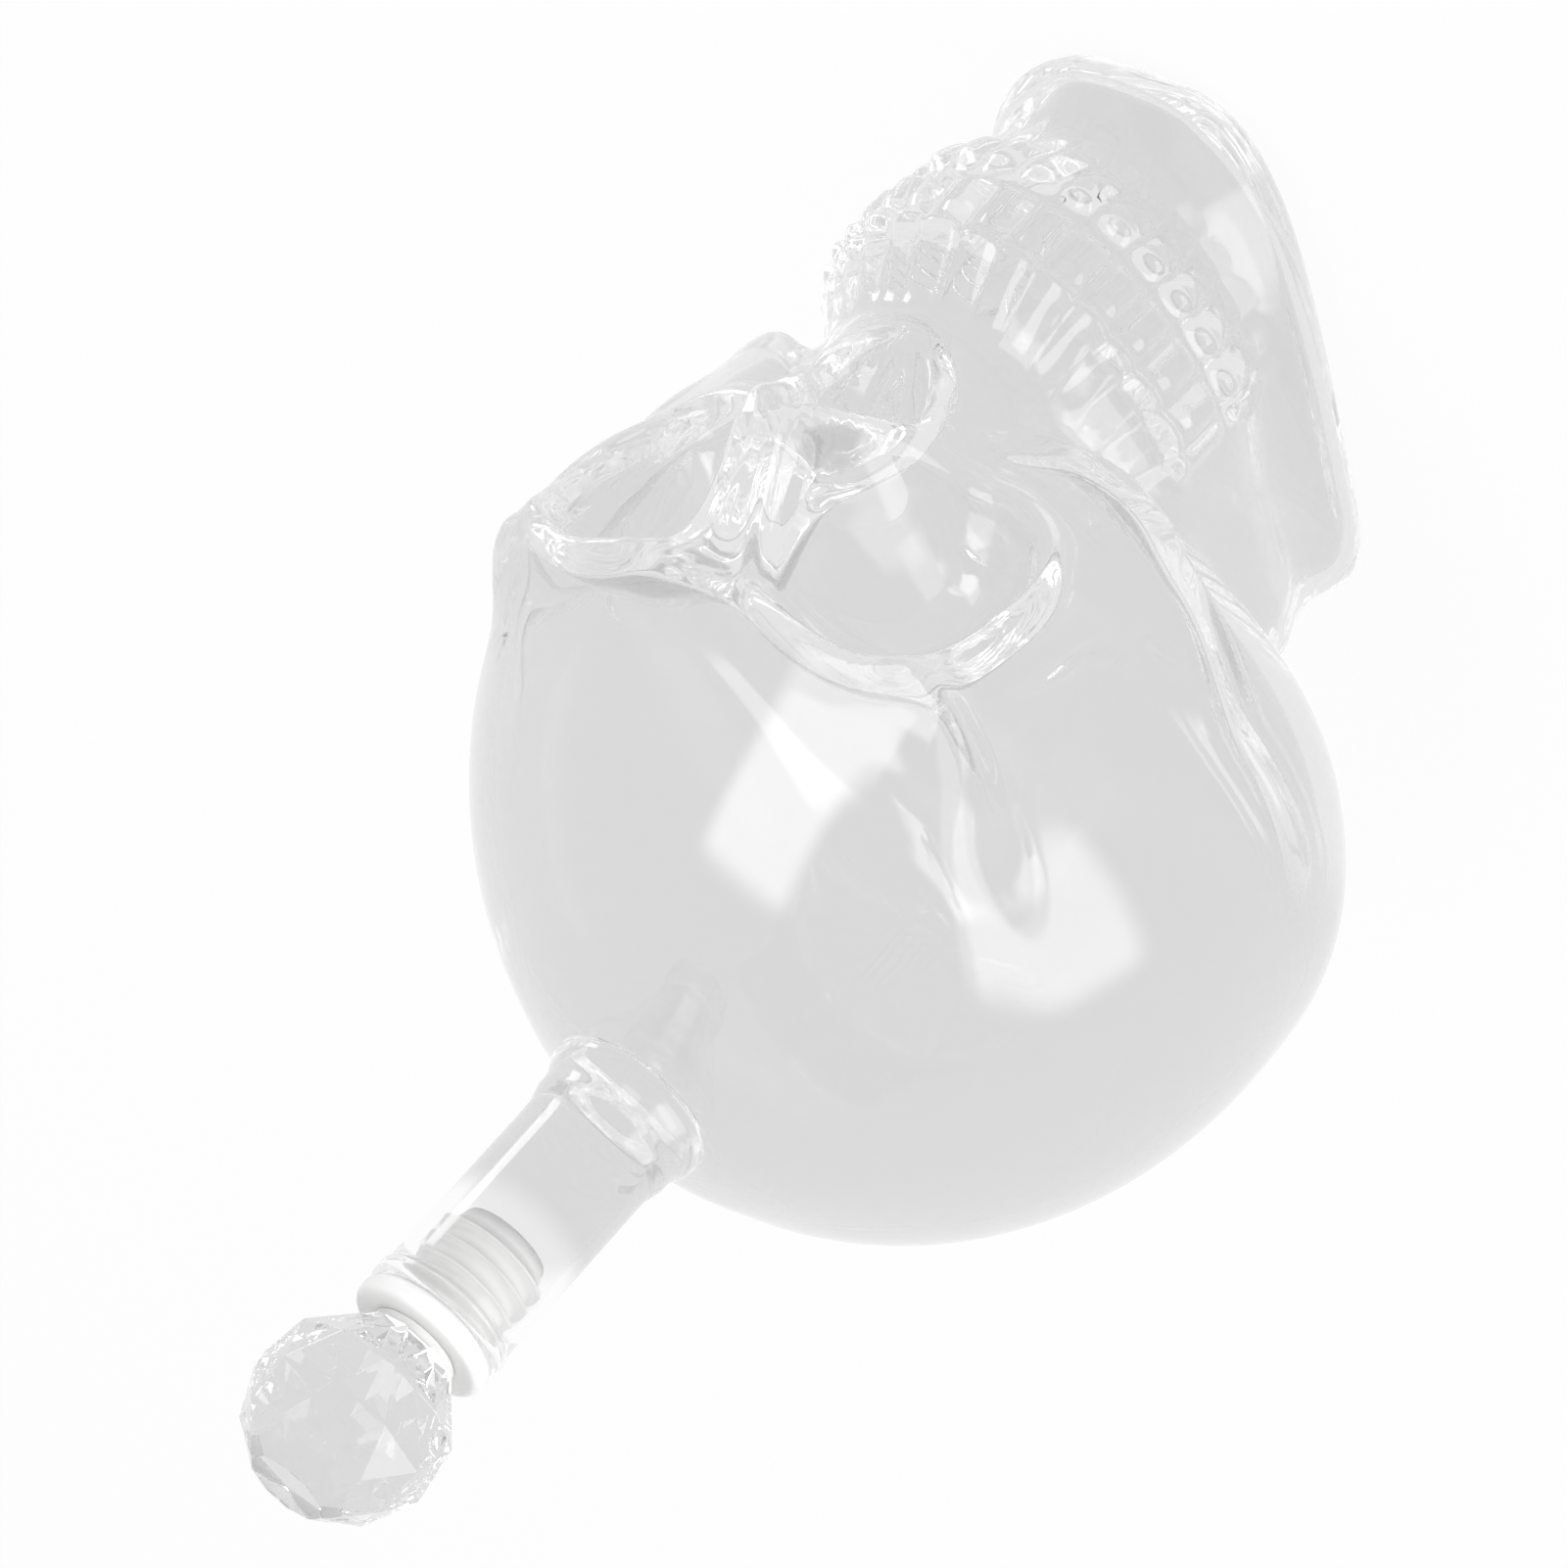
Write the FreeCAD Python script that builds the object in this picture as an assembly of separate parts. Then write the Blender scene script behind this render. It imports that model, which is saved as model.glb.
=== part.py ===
import FreeCAD, Part
import math
import os

os.makedirs("parts", exist_ok=True)

# All lengths in millimetres. The face looks along -Y, up is +Z, the neck stands on the Z axis.

# Glass walls
WALL = 3.0
FLOOR = 5.0
BASE_EDGE = 3.0

# Cranium, a ball whose front is cut back below the brow
BALL_Y = -2.7
BALL_Z = 78.5
BALL_HALF_WIDTH = 65.5
BALL_HALF_LENGTH = 77.3
BALL_UP = 74.3
BALL_DOWN = 38.4
UP_POWER = 2.0
DOWN_POWER = 3.3
FRONT_CUT_SHARE = 0.24
CUT_LOW = 98.0
CUT_HIGH = 114.0
CUT_RISE = 26.0
CUT_CORNER = 33.0

# Face and jaw, a block with a rounded outline at each height
FACE_TOP = 134.0
FACE_REACH = 78.0
FACE_HALF_WIDTH = 46.0
JAW_BACK = 14.0
BACK_SQUARENESS = 4.2
SIDE_SQUARENESS = 2.6
# each row: height, front reach, half width, back reach, then the squareness of the outline in front
FACE_SECTION_SHARES = (
    (0.000, 0.980, 0.480, 0.79, 4.4),
    (0.037, 1.000, 0.530, 0.86, 3.8),
    (0.090, 0.987, 0.580, 1.00, 3.0),
    (0.164, 0.974, 0.625, 0.93, 2.5),
    (0.246, 1.000, 0.717, 0.86, 2.4),
    (0.336, 0.994, 0.750, 0.98, 2.4),
    (0.418, 0.925, 0.815, 0.95, 2.2),
    (0.493, 0.800, 0.891, 0.71, 3.2),
    (0.567, 0.765, 0.967, 0.71, 5.0),
    (0.687, 0.808, 0.989, 0.71, 6.5),
    (0.806, 0.853, 0.957, 0.71, 5.0),
    (0.866, 0.769, 0.870, 0.71, 3.0),
    (0.940, 0.385, 0.435, 0.71, 2.4),
    (1.000, 0.051, 0.065, 0.29, 2.2),
)
JOIN_SOFTNESS = 3.0

# Where a feature of the face fades out towards the back
FACE_FULL_Y = -60.0
FACE_GONE_Y = -38.0
SIDE_FULL_Y = -46.0
SIDE_GONE_Y = -20.0

# Eye sockets
ORBIT_X = 21.0
ORBIT_Z = 93.0
ORBIT_HALF_WIDTH = 14.8
ORBIT_HALF_HEIGHT = 18.2
ORBIT_DROOP = 2.0
ORBIT_DEPTH = 15.0
ORBIT_RIM = 1.6
RIM_WIDTH = 1.8
RIM_OFFSET = 1.5
ROUNDNESS = 2.4
CUP_POWER = 0.9

# Brow
BROW_Z = 112.8
BROW_HEIGHT = 2.6
BROW_WIDTH = 5.6
BROW_END_X = 36.0
BROW_GONE_X = 46.0
CORNER_X = 39.0
CORNER_Z = 110.5
CORNER_HEIGHT = 5.0
CORNER_WIDTH = 4.8

# Nose
MUZZLE_HEIGHT = 11.0
MUZZLE_WIDTH = 16.0
MUZZLE_POWER = 4
MUZZLE_LOW = 52.0
MUZZLE_HIGH = 114.0
MUZZLE_SOFT = 16.0
MUZZLE_FADE = 38.0
NOSE_TOP = 112.5
NOSE_TIP = 92.0
NOSE_UNDER = 88.0
NOSE_HEIGHT = 16.0
NOSE_SPREAD_SHARE = 1.5
NOSE_FADE = 26.0
BRIDGE_HALF_WIDTH = 5.5
TIP_EXTRA_WIDTH = 3.5
HOLE_Z = 76.0
HOLE_HALF_HEIGHT = 14.0
HOLE_TOP_HALF_WIDTH = 4.0
HOLE_EXTRA_WIDTH = 6.6
HOLE_WIDE_Z = 69.0
HOLE_DEPTH = 9.0
HOLE_RIM = 1.5
SEPTUM = 4.0
SEPTUM_WIDTH = 1.8

# Temple, a shallow hollow with an edge behind the eye socket and a line over it
TEMPLE_DEPTH = 2.0
TEMPLE_LOW_Y = -48.6
TEMPLE_LOW_Z = 76.6
TEMPLE_HIGH_Y = -61.0
TEMPLE_HIGH_Z = 113.0
TEMPLE_EDGE = 4.0
TEMPLE_RISE = 26.0
TEMPLE_RISE_LENGTH = 50.0
TEMPLE_SLOPE = 40.0
TEMPLE_GONE_Y = -8.0
TEMPLE_FLOOR = 77.0
TEMPLE_FLOOR_SOFT = 7.0
TEMPLE_START_X = 31.0
TEMPLE_FULL_X = 37.0

# Cheekbone and the arch behind it
CHEEK_Z = 55.5
CHEEK_HOLD_Z = 70.0
CHEEK_RISE_FRONT = 26.0
CHEEK_FRONT_WIDTH = 17.0
CHEEK_RISE_BACK = 13.0
CHEEK_BEND_Y = -52.0
ARCH_START_Y = -26.0
CHEEK_EDGE = 3.6
CHEEK_FLAT = 3.0
CHEEK_SLOPE = 20.0
CHEEK_REACH = 4.2
CHEEK_START_X = 8.0
CHEEK_FULL_X = 28.0
ARCH_FLAT = 6.0
ARCH_SLOPE = 4.0
ARCH_REACH_SHARE = 0.2
ARCH_END_Y = -24.0
ARCH_GONE_Y = 6.0
HOLLOW_DEPTH = 2.0
HOLLOW_Y = -46.0
HOLLOW_Z = 53.0
HOLLOW_HALF_LENGTH = 16.0
HOLLOW_HALF_HEIGHT = 6.0
HOLLOW_START_X = 16.0
HOLLOW_FULL_X = 30.0

# Teeth, widths along the arch from the middle
TOOTH_WIDTHS = (6.4, 5.6, 6.2, 6.0, 6.2, 7.4, 7.6, 7.0)
UPPER_GUM = 45.0
BITE = 33.7
LOWER_GUM = 22.5
UPPER_TOOTH = 3.0
LOWER_TOOTH = 2.6
TOOTH_ROUND = 3.6
TOOTH_POWER = 2.2
GAP_SHARE = 0.1
ROOT_HEIGHT = 1.4
UPPER_ROOT_LENGTH = 13.0
LOWER_ROOT_LENGTH = 9.0
GUM_BEAD = 1.6
GUM_BEAD_WIDTH = 1.3
SOCKET_HEIGHT = 3.0
SOCKET_SOFT = 12.0
ROW_FADE = 14.0

# Chin and lower border of the jaw
CHIN_Z = 10.0
CHIN_HEIGHT = 2.0
CHIN_WIDTH = 16.0
CHIN_TALL = 6.0
BORDER_Z = 8.0
BORDER_HEIGHT = 4.2
BORDER_TALL = 7.0
BORDER_START_X = 12.0
BORDER_FULL_X = 22.0

# Neck tube, welded to the crown
WELD_Z = 160.0
WELD_RADIUS = 11.8
COLLAR_Z = 152.0
COLLAR_SOFTNESS = 8.0
COLLAR_SPAN = 6.0
CENTRE_SPAN = 10.0
NECK_RADIUS = 11.0
BORE_RADIUS = 9.2
NECK_LENGTH = 39.0
WELD_FLARE = 3.0
LIP_RADIUS = 11.5
LIP_HEIGHT = 3.6
LIP_ROUND = 1.2

# Plug of the stopper
FIT_GAP = 0.08
FLANGE_RADIUS = 11.2
FLANGE_THICK = 3.6
FLANGE_ROUND = 1.2
PLUG_LENGTH = 16.5
PLUG_RADIUS = 7.7
PLUG_END_RADIUS = 7.0
PLUG_END_LENGTH = 2.0
PLUG_WALL = 1.6
FIN_COUNT = 4
FIN_THICK = 1.2
FIN_TIP = 0.4
FIN_FIRST = 2.4
FIN_PITCH = 3.2
SOCKET_RADIUS = 4.0
SOCKET_DEPTH = 6.0
SOCKET_WEB = 2.0

# Cut ball of the stopper, rings of corners from the seat to the table
KNOB_RADIUS = 15.4
KNOB_SIDES = 10
KNOB_RING_ANGLES = (-57.0, -18.0, 10.0, 38.0, 65.0)
SEAT_RADIUS = 7.2
SEAT_HEIGHT = 1.7
PEG_RADIUS = 3.95
PEG_LENGTH = 5.7

# Numbers of rings from level to level and of points along a half ring, outside and inside
DOME_Z = 134.0
OUTSIDE_RINGS = (4, 3, 3, 6, 6, 32, 5, 8, 4)
INSIDE_RINGS = (3, 1, 2, 3, 4, 24, 4, 7, 3)
OUTSIDE_TOOTH_STEPS = 3
INSIDE_TOOTH_STEPS = 2
OUTSIDE_BACK_STEPS = 24
INSIDE_BACK_STEPS = 18
ARCH_STEPS = 400
DEGREE = 3


def blend(low, high, value):
    t = min(1.0, max(0.0, (value - low) / (high - low)))
    return t * t * (3 - 2 * t)


def bell(distance, width):
    return math.exp(-(distance / width) ** 2)


def smooth_max(a, b, softness):
    return (a + b + math.sqrt((a - b) ** 2 + softness ** 2)) / 2


# One column of the face's sections at height z, eased between the rows
def section(z, column):
    rows = FACE_SECTION_SHARES
    share = min(1.0, max(0.0, z / FACE_TOP))
    i = 0
    while i < len(rows) - 2 and share > rows[i + 1][0]:
        i += 1

    def slope(j):
        if j == 0 or j == len(rows) - 1:
            return 0.0
        before = (rows[j][column] - rows[j - 1][column]) / (rows[j][0] - rows[j - 1][0])
        after = (rows[j + 1][column] - rows[j][column]) / (rows[j + 1][0] - rows[j][0])
        return 0.0 if before * after <= 0 else 2 * before * after / (before + after)

    step = rows[i + 1][0] - rows[i][0]
    t = (share - rows[i][0]) / step
    return ((2 * t ** 3 - 3 * t ** 2 + 1) * rows[i][column]
            + (t ** 3 - 2 * t ** 2 + t) * step * slope(i)
            + (3 * t ** 2 - 2 * t ** 3) * rows[i + 1][column]
            + (t ** 3 - t ** 2) * step * slope(i + 1))


# Distance from the ball's upright axis to the cranium
def ball_radius(turn, z, inset):
    if z >= BALL_Z:
        d = (z - BALL_Z) / (BALL_UP - inset)
        power = UP_POWER
    else:
        d = (BALL_Z - z) / (BALL_DOWN - inset)
        power = DOWN_POWER
    scale = math.sqrt(max(0.0001, 1 - min(1.0, d) ** power))
    c = math.cos(turn)
    length = (BALL_HALF_LENGTH - inset) * scale
    if c > 0:
        rise = CUT_RISE * max(0.0, math.cos(math.radians(CUT_CORNER)) - c)
        length = length * (1 - FRONT_CUT_SHARE * (1 - blend(CUT_LOW + rise, CUT_HIGH + rise, z)))
    width = (BALL_HALF_WIDTH - inset) * scale
    return ((math.sin(turn) / width) ** 2 + (c / length) ** 2) ** -0.5


# Distance from the same axis to the face and jaw
def face_radius(turn, z, inset):
    c = math.cos(turn)
    width = max(FACE_HALF_WIDTH * section(z, 2) - inset, inset)
    if c > 0:
        length = max(FACE_REACH * section(z, 1) + BALL_Y - inset, inset)
        power = section(z, 4)
    else:
        length = max(JAW_BACK * section(z, 3) - BALL_Y - inset, inset)
        power = BACK_SQUARENESS
    power = SIDE_SQUARENESS + (power - SIDE_SQUARENESS) * min(1.0, abs(c) * SIDE_SQUARENESS)
    return ((abs(math.sin(turn)) / width) ** power + (abs(c) / length) ** power) ** (-1 / power)


# Height of the cheekbone's lower border, and how far a point lies back along the arch
def cheek_border(x, y):
    face = 1 - blend(FACE_FULL_Y, FACE_GONE_Y, y)
    arch = blend(CHEEK_BEND_Y, ARCH_START_Y, y)
    rise = CHEEK_RISE_FRONT * bell(x, CHEEK_FRONT_WIDTH) * face + CHEEK_RISE_BACK * arch
    return CHEEK_Z + rise, arch


# The cheek keeps the outline of a higher section down to its border, and overhangs the jaw there
def form_radius(turn, z, inset):
    low = face_radius(turn, z, inset)
    high = face_radius(turn, max(z, CHEEK_HOLD_Z), inset)
    border, arch = cheek_border(high * math.sin(turn), BALL_Y - high * math.cos(turn))
    face = low + (high - low) * blend(-CHEEK_EDGE / 2, CHEEK_EDGE / 2, z - border - inset)
    return smooth_max(ball_radius(turn, z, inset), face, JOIN_SOFTNESS) - JOIN_SOFTNESS / 4


# Running length of the tooth row over the turn, measured at the bite
def arch_lengths():
    lengths = [0.0]
    last = None
    for i in range(ARCH_STEPS + 1):
        turn = math.pi / 2 * i / ARCH_STEPS
        r = face_radius(turn, BITE, 0)
        here = (r * math.sin(turn), r * math.cos(turn))
        if last:
            lengths.append(lengths[-1] + math.dist(here, last))
        last = here
    return lengths


ARCH = arch_lengths()
ROW_LENGTH = sum(TOOTH_WIDTHS)


def along_arch(turn):
    place = min(turn / (math.pi / 2), 1.0) * ARCH_STEPS
    i = min(int(place), ARCH_STEPS - 1)
    return ARCH[i] + (ARCH[i + 1] - ARCH[i]) * (place - i)


# 0 in the gap between two teeth, 1 in the middle of a tooth
def tooth_wave(along):
    start = 0.0
    for width in TOOTH_WIDTHS:
        if along < start + width:
            return 1 - abs(2 * (along - start) / width - 1) ** TOOTH_POWER
        start += width
    return 0.0


# A rounded cup: 1 in the middle, 0 at the rim
def cup(r):
    return (1 - r ** ROUNDNESS) ** CUP_POWER if r < 1 else 0.0


# How far the features move a point: straight back, and out from the outline
def eye_socket(x, y, z, grow, fine):
    side = 1 - blend(SIDE_FULL_Y, SIDE_GONE_Y, y)
    u = (x - ORBIT_X) / (ORBIT_HALF_WIDTH + grow)
    droop = ORBIT_DROOP * u if z < ORBIT_Z else 0.0
    v = (z - ORBIT_Z) / (ORBIT_HALF_HEIGHT + grow + droop)
    r = (abs(u) ** ROUNDNESS + abs(v) ** ROUNDNESS) ** (1 / ROUNDNESS)
    rim = bell((r - 1) * ORBIT_HALF_WIDTH - RIM_OFFSET, RIM_WIDTH) * side * fine
    back = ORBIT_DEPTH * cup(r) * side - ORBIT_RIM * rim
    out = ORBIT_RIM * rim * blend(0, 1, u)
    return back, out


def brow(x, y, z, inset):
    face = 1 - blend(FACE_FULL_Y, FACE_GONE_Y, y)
    side = 1 - blend(SIDE_FULL_Y, SIDE_GONE_Y, y)
    ridge = bell(z - BROW_Z, BROW_WIDTH) * (1 - blend(BROW_END_X, BROW_GONE_X, x))
    corner = bell(z - CORNER_Z, CORNER_WIDTH) * bell(x + inset - CORNER_X, CORNER_WIDTH)
    return -BROW_HEIGHT * ridge * face, CORNER_HEIGHT * corner * side


def nose(x, y, z, grow, fine):
    face = 1 - blend(FACE_FULL_Y, FACE_GONE_Y, y)
    if face == 0:
        return 0.0
    low = blend(MUZZLE_LOW, MUZZLE_LOW + MUZZLE_SOFT, z)
    high = 1 - blend(MUZZLE_HIGH - MUZZLE_FADE, MUZZLE_HIGH, z)
    back = -MUZZLE_HEIGHT * math.exp(-(x / MUZZLE_WIDTH) ** MUZZLE_POWER) * low * high
    drop = min(1.0, max(0.0, (NOSE_TOP - z) / (NOSE_TOP - NOSE_TIP)))
    ridge = math.exp(-(x / (BRIDGE_HALF_WIDTH + TIP_EXTRA_WIDTH * drop)) ** 2)
    under = blend(NOSE_UNDER, NOSE_TIP, z + NOSE_SPREAD_SHARE * x)
    under = under * (1 - blend(NOSE_TIP, NOSE_TIP - NOSE_FADE, z))
    back -= NOSE_HEIGHT * drop * under * ridge * fine
    half = HOLE_TOP_HALF_WIDTH + HOLE_EXTRA_WIDTH * (1 - blend(HOLE_WIDE_Z, NOSE_TIP, z))
    q = math.hypot(x / (half + grow), (z - HOLE_Z) / (HOLE_HALF_HEIGHT + grow))
    back += cup(q) * (HOLE_DEPTH - SEPTUM * bell(x, SEPTUM_WIDTH) * fine)
    rim = bell((q - 1) * half - RIM_OFFSET, RIM_WIDTH)
    rim = rim * (1 - blend(NOSE_UNDER, NOSE_TIP, z))
    return (back - HOLE_RIM * rim * fine) * face


def temple(x, y, z):
    lean = (TEMPLE_HIGH_Y - TEMPLE_LOW_Y) / (TEMPLE_HIGH_Z - TEMPLE_LOW_Z)
    front = TEMPLE_LOW_Y + lean * (z - TEMPLE_LOW_Z)
    behind = min(1.0, max(0.0, (y - TEMPLE_HIGH_Y) / TEMPLE_RISE_LENGTH))
    top = TEMPLE_HIGH_Z + TEMPLE_RISE * behind * (2 - behind)
    hollow = blend(0, TEMPLE_EDGE, y - front) * min(1.0, max(0.0, (top - z) / TEMPLE_SLOPE))
    hollow = hollow * min(1.0, max(0.0, (TEMPLE_GONE_Y - y) / (TEMPLE_GONE_Y - TEMPLE_HIGH_Y)))
    hollow = hollow * blend(TEMPLE_FLOOR, TEMPLE_FLOOR + TEMPLE_FLOOR_SOFT, z)
    return -TEMPLE_DEPTH * hollow * blend(TEMPLE_START_X, TEMPLE_FULL_X, x)


def cheek(x, y, z, inset):
    border, arch = cheek_border(x, y)
    top = border + CHEEK_FLAT + (ARCH_FLAT - CHEEK_FLAT) * arch
    slope = CHEEK_SLOPE + (ARCH_SLOPE - CHEEK_SLOPE) * arch
    band = blend(-CHEEK_EDGE / 2, CHEEK_EDGE / 2, z - border - inset)
    band = band * (1 - blend(top, top + slope, z))
    reach = CHEEK_REACH * blend(CHEEK_START_X, CHEEK_FULL_X, x) * (1 - ARCH_REACH_SHARE * arch)
    reach = reach * (1 - blend(ARCH_END_Y, ARCH_GONE_Y, y))
    hollow = bell(z - HOLLOW_Z, HOLLOW_HALF_HEIGHT) * bell(y - HOLLOW_Y, HOLLOW_HALF_LENGTH)
    return reach * band - HOLLOW_DEPTH * hollow * blend(HOLLOW_START_X, HOLLOW_FULL_X, x)


def teeth(turn, z, fine):
    along = along_arch(turn)
    sockets = 1 - blend(ROW_LENGTH - ROW_FADE, ROW_LENGTH + ROW_FADE, along)
    sockets = sockets * blend(LOWER_GUM - SOCKET_SOFT / 2, LOWER_GUM + SOCKET_SOFT / 2, z)
    sockets = sockets * (1 - blend(UPPER_GUM, UPPER_GUM + SOCKET_SOFT, z))
    row = 1 - blend(ROW_LENGTH - ROW_FADE / 2, ROW_LENGTH, along)
    wave = tooth_wave(along) * row
    crown = (GAP_SHARE + (1 - GAP_SHARE) * wave) * row
    upper = blend(BITE, BITE + TOOTH_ROUND, z) * (1 - blend(UPPER_GUM - TOOTH_ROUND, UPPER_GUM, z))
    lower = blend(LOWER_GUM, LOWER_GUM + TOOTH_ROUND, z) * (1 - blend(BITE - TOOTH_ROUND, BITE, z))
    roots = blend(UPPER_GUM - TOOTH_ROUND, UPPER_GUM, z)
    roots = roots * (1 - blend(UPPER_GUM, UPPER_GUM + UPPER_ROOT_LENGTH, z))
    low_roots = blend(LOWER_GUM - LOWER_ROOT_LENGTH, LOWER_GUM, z)
    roots += low_roots * (1 - blend(LOWER_GUM, LOWER_GUM + TOOTH_ROUND, z))
    bead = GUM_BEAD * bell(z - UPPER_GUM - GUM_BEAD_WIDTH / 2, GUM_BEAD_WIDTH) * row
    detail = (UPPER_TOOTH * upper + LOWER_TOOTH * lower) * crown + ROOT_HEIGHT * roots * wave + bead
    return SOCKET_HEIGHT * sockets + detail * fine


def chin(x, y, z):
    face = 1 - blend(FACE_FULL_Y, FACE_GONE_Y, y)
    out = CHIN_HEIGHT * bell(z - CHIN_Z, CHIN_TALL) * bell(x, CHIN_WIDTH) * face
    return out + BORDER_HEIGHT * bell(z - BORDER_Z, BORDER_TALL) * blend(BORDER_START_X, BORDER_FULL_X, x)


# A point of the skull's surface; inset 0 gives the outside, the wall gives the inside
def skull_point(turn, z, inset, bottom, tube_radius):
    fine = 0.0 if inset else 1.0
    near_neck = blend(COLLAR_Z - CENTRE_SPAN, COLLAR_Z, z)
    softness = COLLAR_SOFTNESS * near_neck * blend(WELD_Z, WELD_Z - COLLAR_SPAN, z)
    r = smooth_max(form_radius(turn, z, inset), tube_radius, softness)
    middle = BALL_Y * (1 - near_neck)
    x = r * math.sin(turn)
    y = middle - r * math.cos(turn)
    tiny = 0.001
    after = form_radius(turn + tiny, z, inset)
    before = form_radius(turn - tiny, z, inset)
    along_x = after * math.sin(turn + tiny) - before * math.sin(turn - tiny)
    along_y = before * math.cos(turn - tiny) - after * math.cos(turn + tiny)
    size = math.hypot(along_x, along_y)
    nx = along_y / size
    ny = -along_x / size
    back, out = eye_socket(x, y, z, inset, fine)
    brow_back, brow_out = brow(x, y, z, inset)
    back += brow_back + nose(x, y, z, inset, fine)
    out += brow_out + temple(x, y, z) + cheek(x, y, z, inset) + teeth(turn, z, fine) + chin(x, y, z)
    if z < bottom + BASE_EDGE:
        rest = bottom + BASE_EDGE - z
        out -= BASE_EDGE - math.sqrt(max(0.0, BASE_EDGE ** 2 - rest ** 2))
    x += nx * out
    y += ny * out + back
    if turn == 0 or turn == math.pi:
        x = 0.0
    return FreeCAD.Vector(x, y, z)


# Turn at which the tooth row has run a length
def turn_at(along):
    i = 0
    while i < ARCH_STEPS - 1 and ARCH[i + 1] < along:
        i += 1
    return math.pi / 2 * (i + (along - ARCH[i]) / (ARCH[i + 1] - ARCH[i])) / ARCH_STEPS


# Turns of the points on a half ring: some to each tooth, then even steps to the back
def turns(tooth_steps, back_steps):
    points = []
    start = 0.0
    for width in TOOTH_WIDTHS:
        points += [turn_at(start + width * i / tooth_steps) for i in range(tooth_steps)]
        start += width
    last = turn_at(start)
    return points + [last + (math.pi - last) * i / back_steps for i in range(back_steps)] + [math.pi]


# Heights of the rings: close together where the form turns quickly
def heights(bottom, top, counts):
    low = bottom + BASE_EDGE
    edge = counts[0]
    rings = [low - BASE_EDGE * math.cos(math.pi / 2 * i / edge) for i in range(edge)]
    levels = (LOWER_GUM - LOWER_ROOT_LENGTH / 2, LOWER_GUM, BITE, UPPER_GUM, CUT_HIGH, DOME_Z)
    for high, steps in zip(levels, counts[1:]):
        rings += [low + (high - low) * i / steps for i in range(steps)]
        low = high
    dome, collar = counts[-2:]
    rings += [low + (top - low) * math.sin(math.pi / 2 * i / dome) for i in range(dome)]
    return rings + [top + (WELD_Z - top) * i / collar for i in range(collar + 1)]


# One half of a skull surface as a smooth face over the rings; side is 1 or -1
def half_face(side, inset, bottom, tube_radius, counts, half_turns):
    rows = []
    for z in heights(bottom, BALL_Z + BALL_UP - inset, counts):
        row = [skull_point(turn, z, inset, bottom, tube_radius) for turn in half_turns]
        if side < 0:
            row = [FreeCAD.Vector(-p.x, p.y, p.z) for p in reversed(row)]
        rows.append(row)

    def knots(count):
        spans = count - DEGREE
        return list(range(spans + 1)), [DEGREE + 1] + [1] * (spans - 1) + [DEGREE + 1]

    across_knots, across_counts = knots(len(rows))
    around_knots, around_counts = knots(len(rows[0]))
    surface = Part.BSplineSurface()
    surface.buildFromPolesMultsKnots(rows, across_counts, around_counts, across_knots, around_knots,
                                     False, False, DEGREE, DEGREE)
    return surface.toShape()


def ring_wire(faces, z):
    level = []
    for face in faces:
        level += [e for e in face.Edges if e.BoundBox.ZMax - e.BoundBox.ZMin < FIT_GAP
                  and abs(e.BoundBox.ZMin - z) < FIT_GAP]
    return Part.Wire(Part.__sortEdges__(level))


def skull_body():
    outside_turns = turns(OUTSIDE_TOOTH_STEPS, OUTSIDE_BACK_STEPS)
    inside_turns = turns(INSIDE_TOOTH_STEPS, INSIDE_BACK_STEPS)
    sides = (1, -1)
    outside = [half_face(side, 0, 0, WELD_RADIUS, OUTSIDE_RINGS, outside_turns) for side in sides]
    inside = [half_face(side, WALL, FLOOR, BORE_RADIUS, INSIDE_RINGS, inside_turns) for side in sides]
    base = Part.Face(ring_wire(outside, 0))
    floor = Part.Face(ring_wire(inside, FLOOR))
    weld = Part.Face([ring_wire(outside, WELD_Z), ring_wire(inside, WELD_Z)])
    shell = Part.Shell(outside + inside + [base, floor, weld])
    shell.sewShape()
    solid = Part.Solid(shell)
    if solid.Volume < 0:
        solid.reverse()
    return solid


# A solid turned about the Z axis from edges between points (radius, height)
def turned(points):
    corners = [FreeCAD.Vector(r, 0, z) for r, z in points]
    outline = Part.makePolygon(corners + [corners[0]])
    return Part.Face(outline).revolve(FreeCAD.Vector(0, 0, 0), FreeCAD.Vector(0, 0, 1), 360)


def round_points(centre_r, centre_z, radius, start, end, steps):
    points = []
    for i in range(steps + 1):
        angle = math.radians(start + (end - start) * i / steps)
        points.append((centre_r + radius * math.cos(angle), centre_z + radius * math.sin(angle)))
    return points


LIP_TOP = WELD_Z + NECK_LENGTH
ROUND_STEPS = 6


def neck_tube():
    low = LIP_TOP - LIP_HEIGHT
    outline = [(BORE_RADIUS, WELD_Z), (WELD_RADIUS, WELD_Z)]
    outline += [(NECK_RADIUS, WELD_Z + WELD_FLARE), (NECK_RADIUS, low)]
    rim = LIP_RADIUS - LIP_ROUND
    outline += round_points(rim, low + LIP_ROUND, LIP_ROUND, -60, 0, ROUND_STEPS)
    outline += round_points(rim, LIP_TOP - LIP_ROUND, LIP_ROUND, 0, 90, ROUND_STEPS)
    outline += [(BORE_RADIUS, LIP_TOP)]
    return turned(outline)


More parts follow.
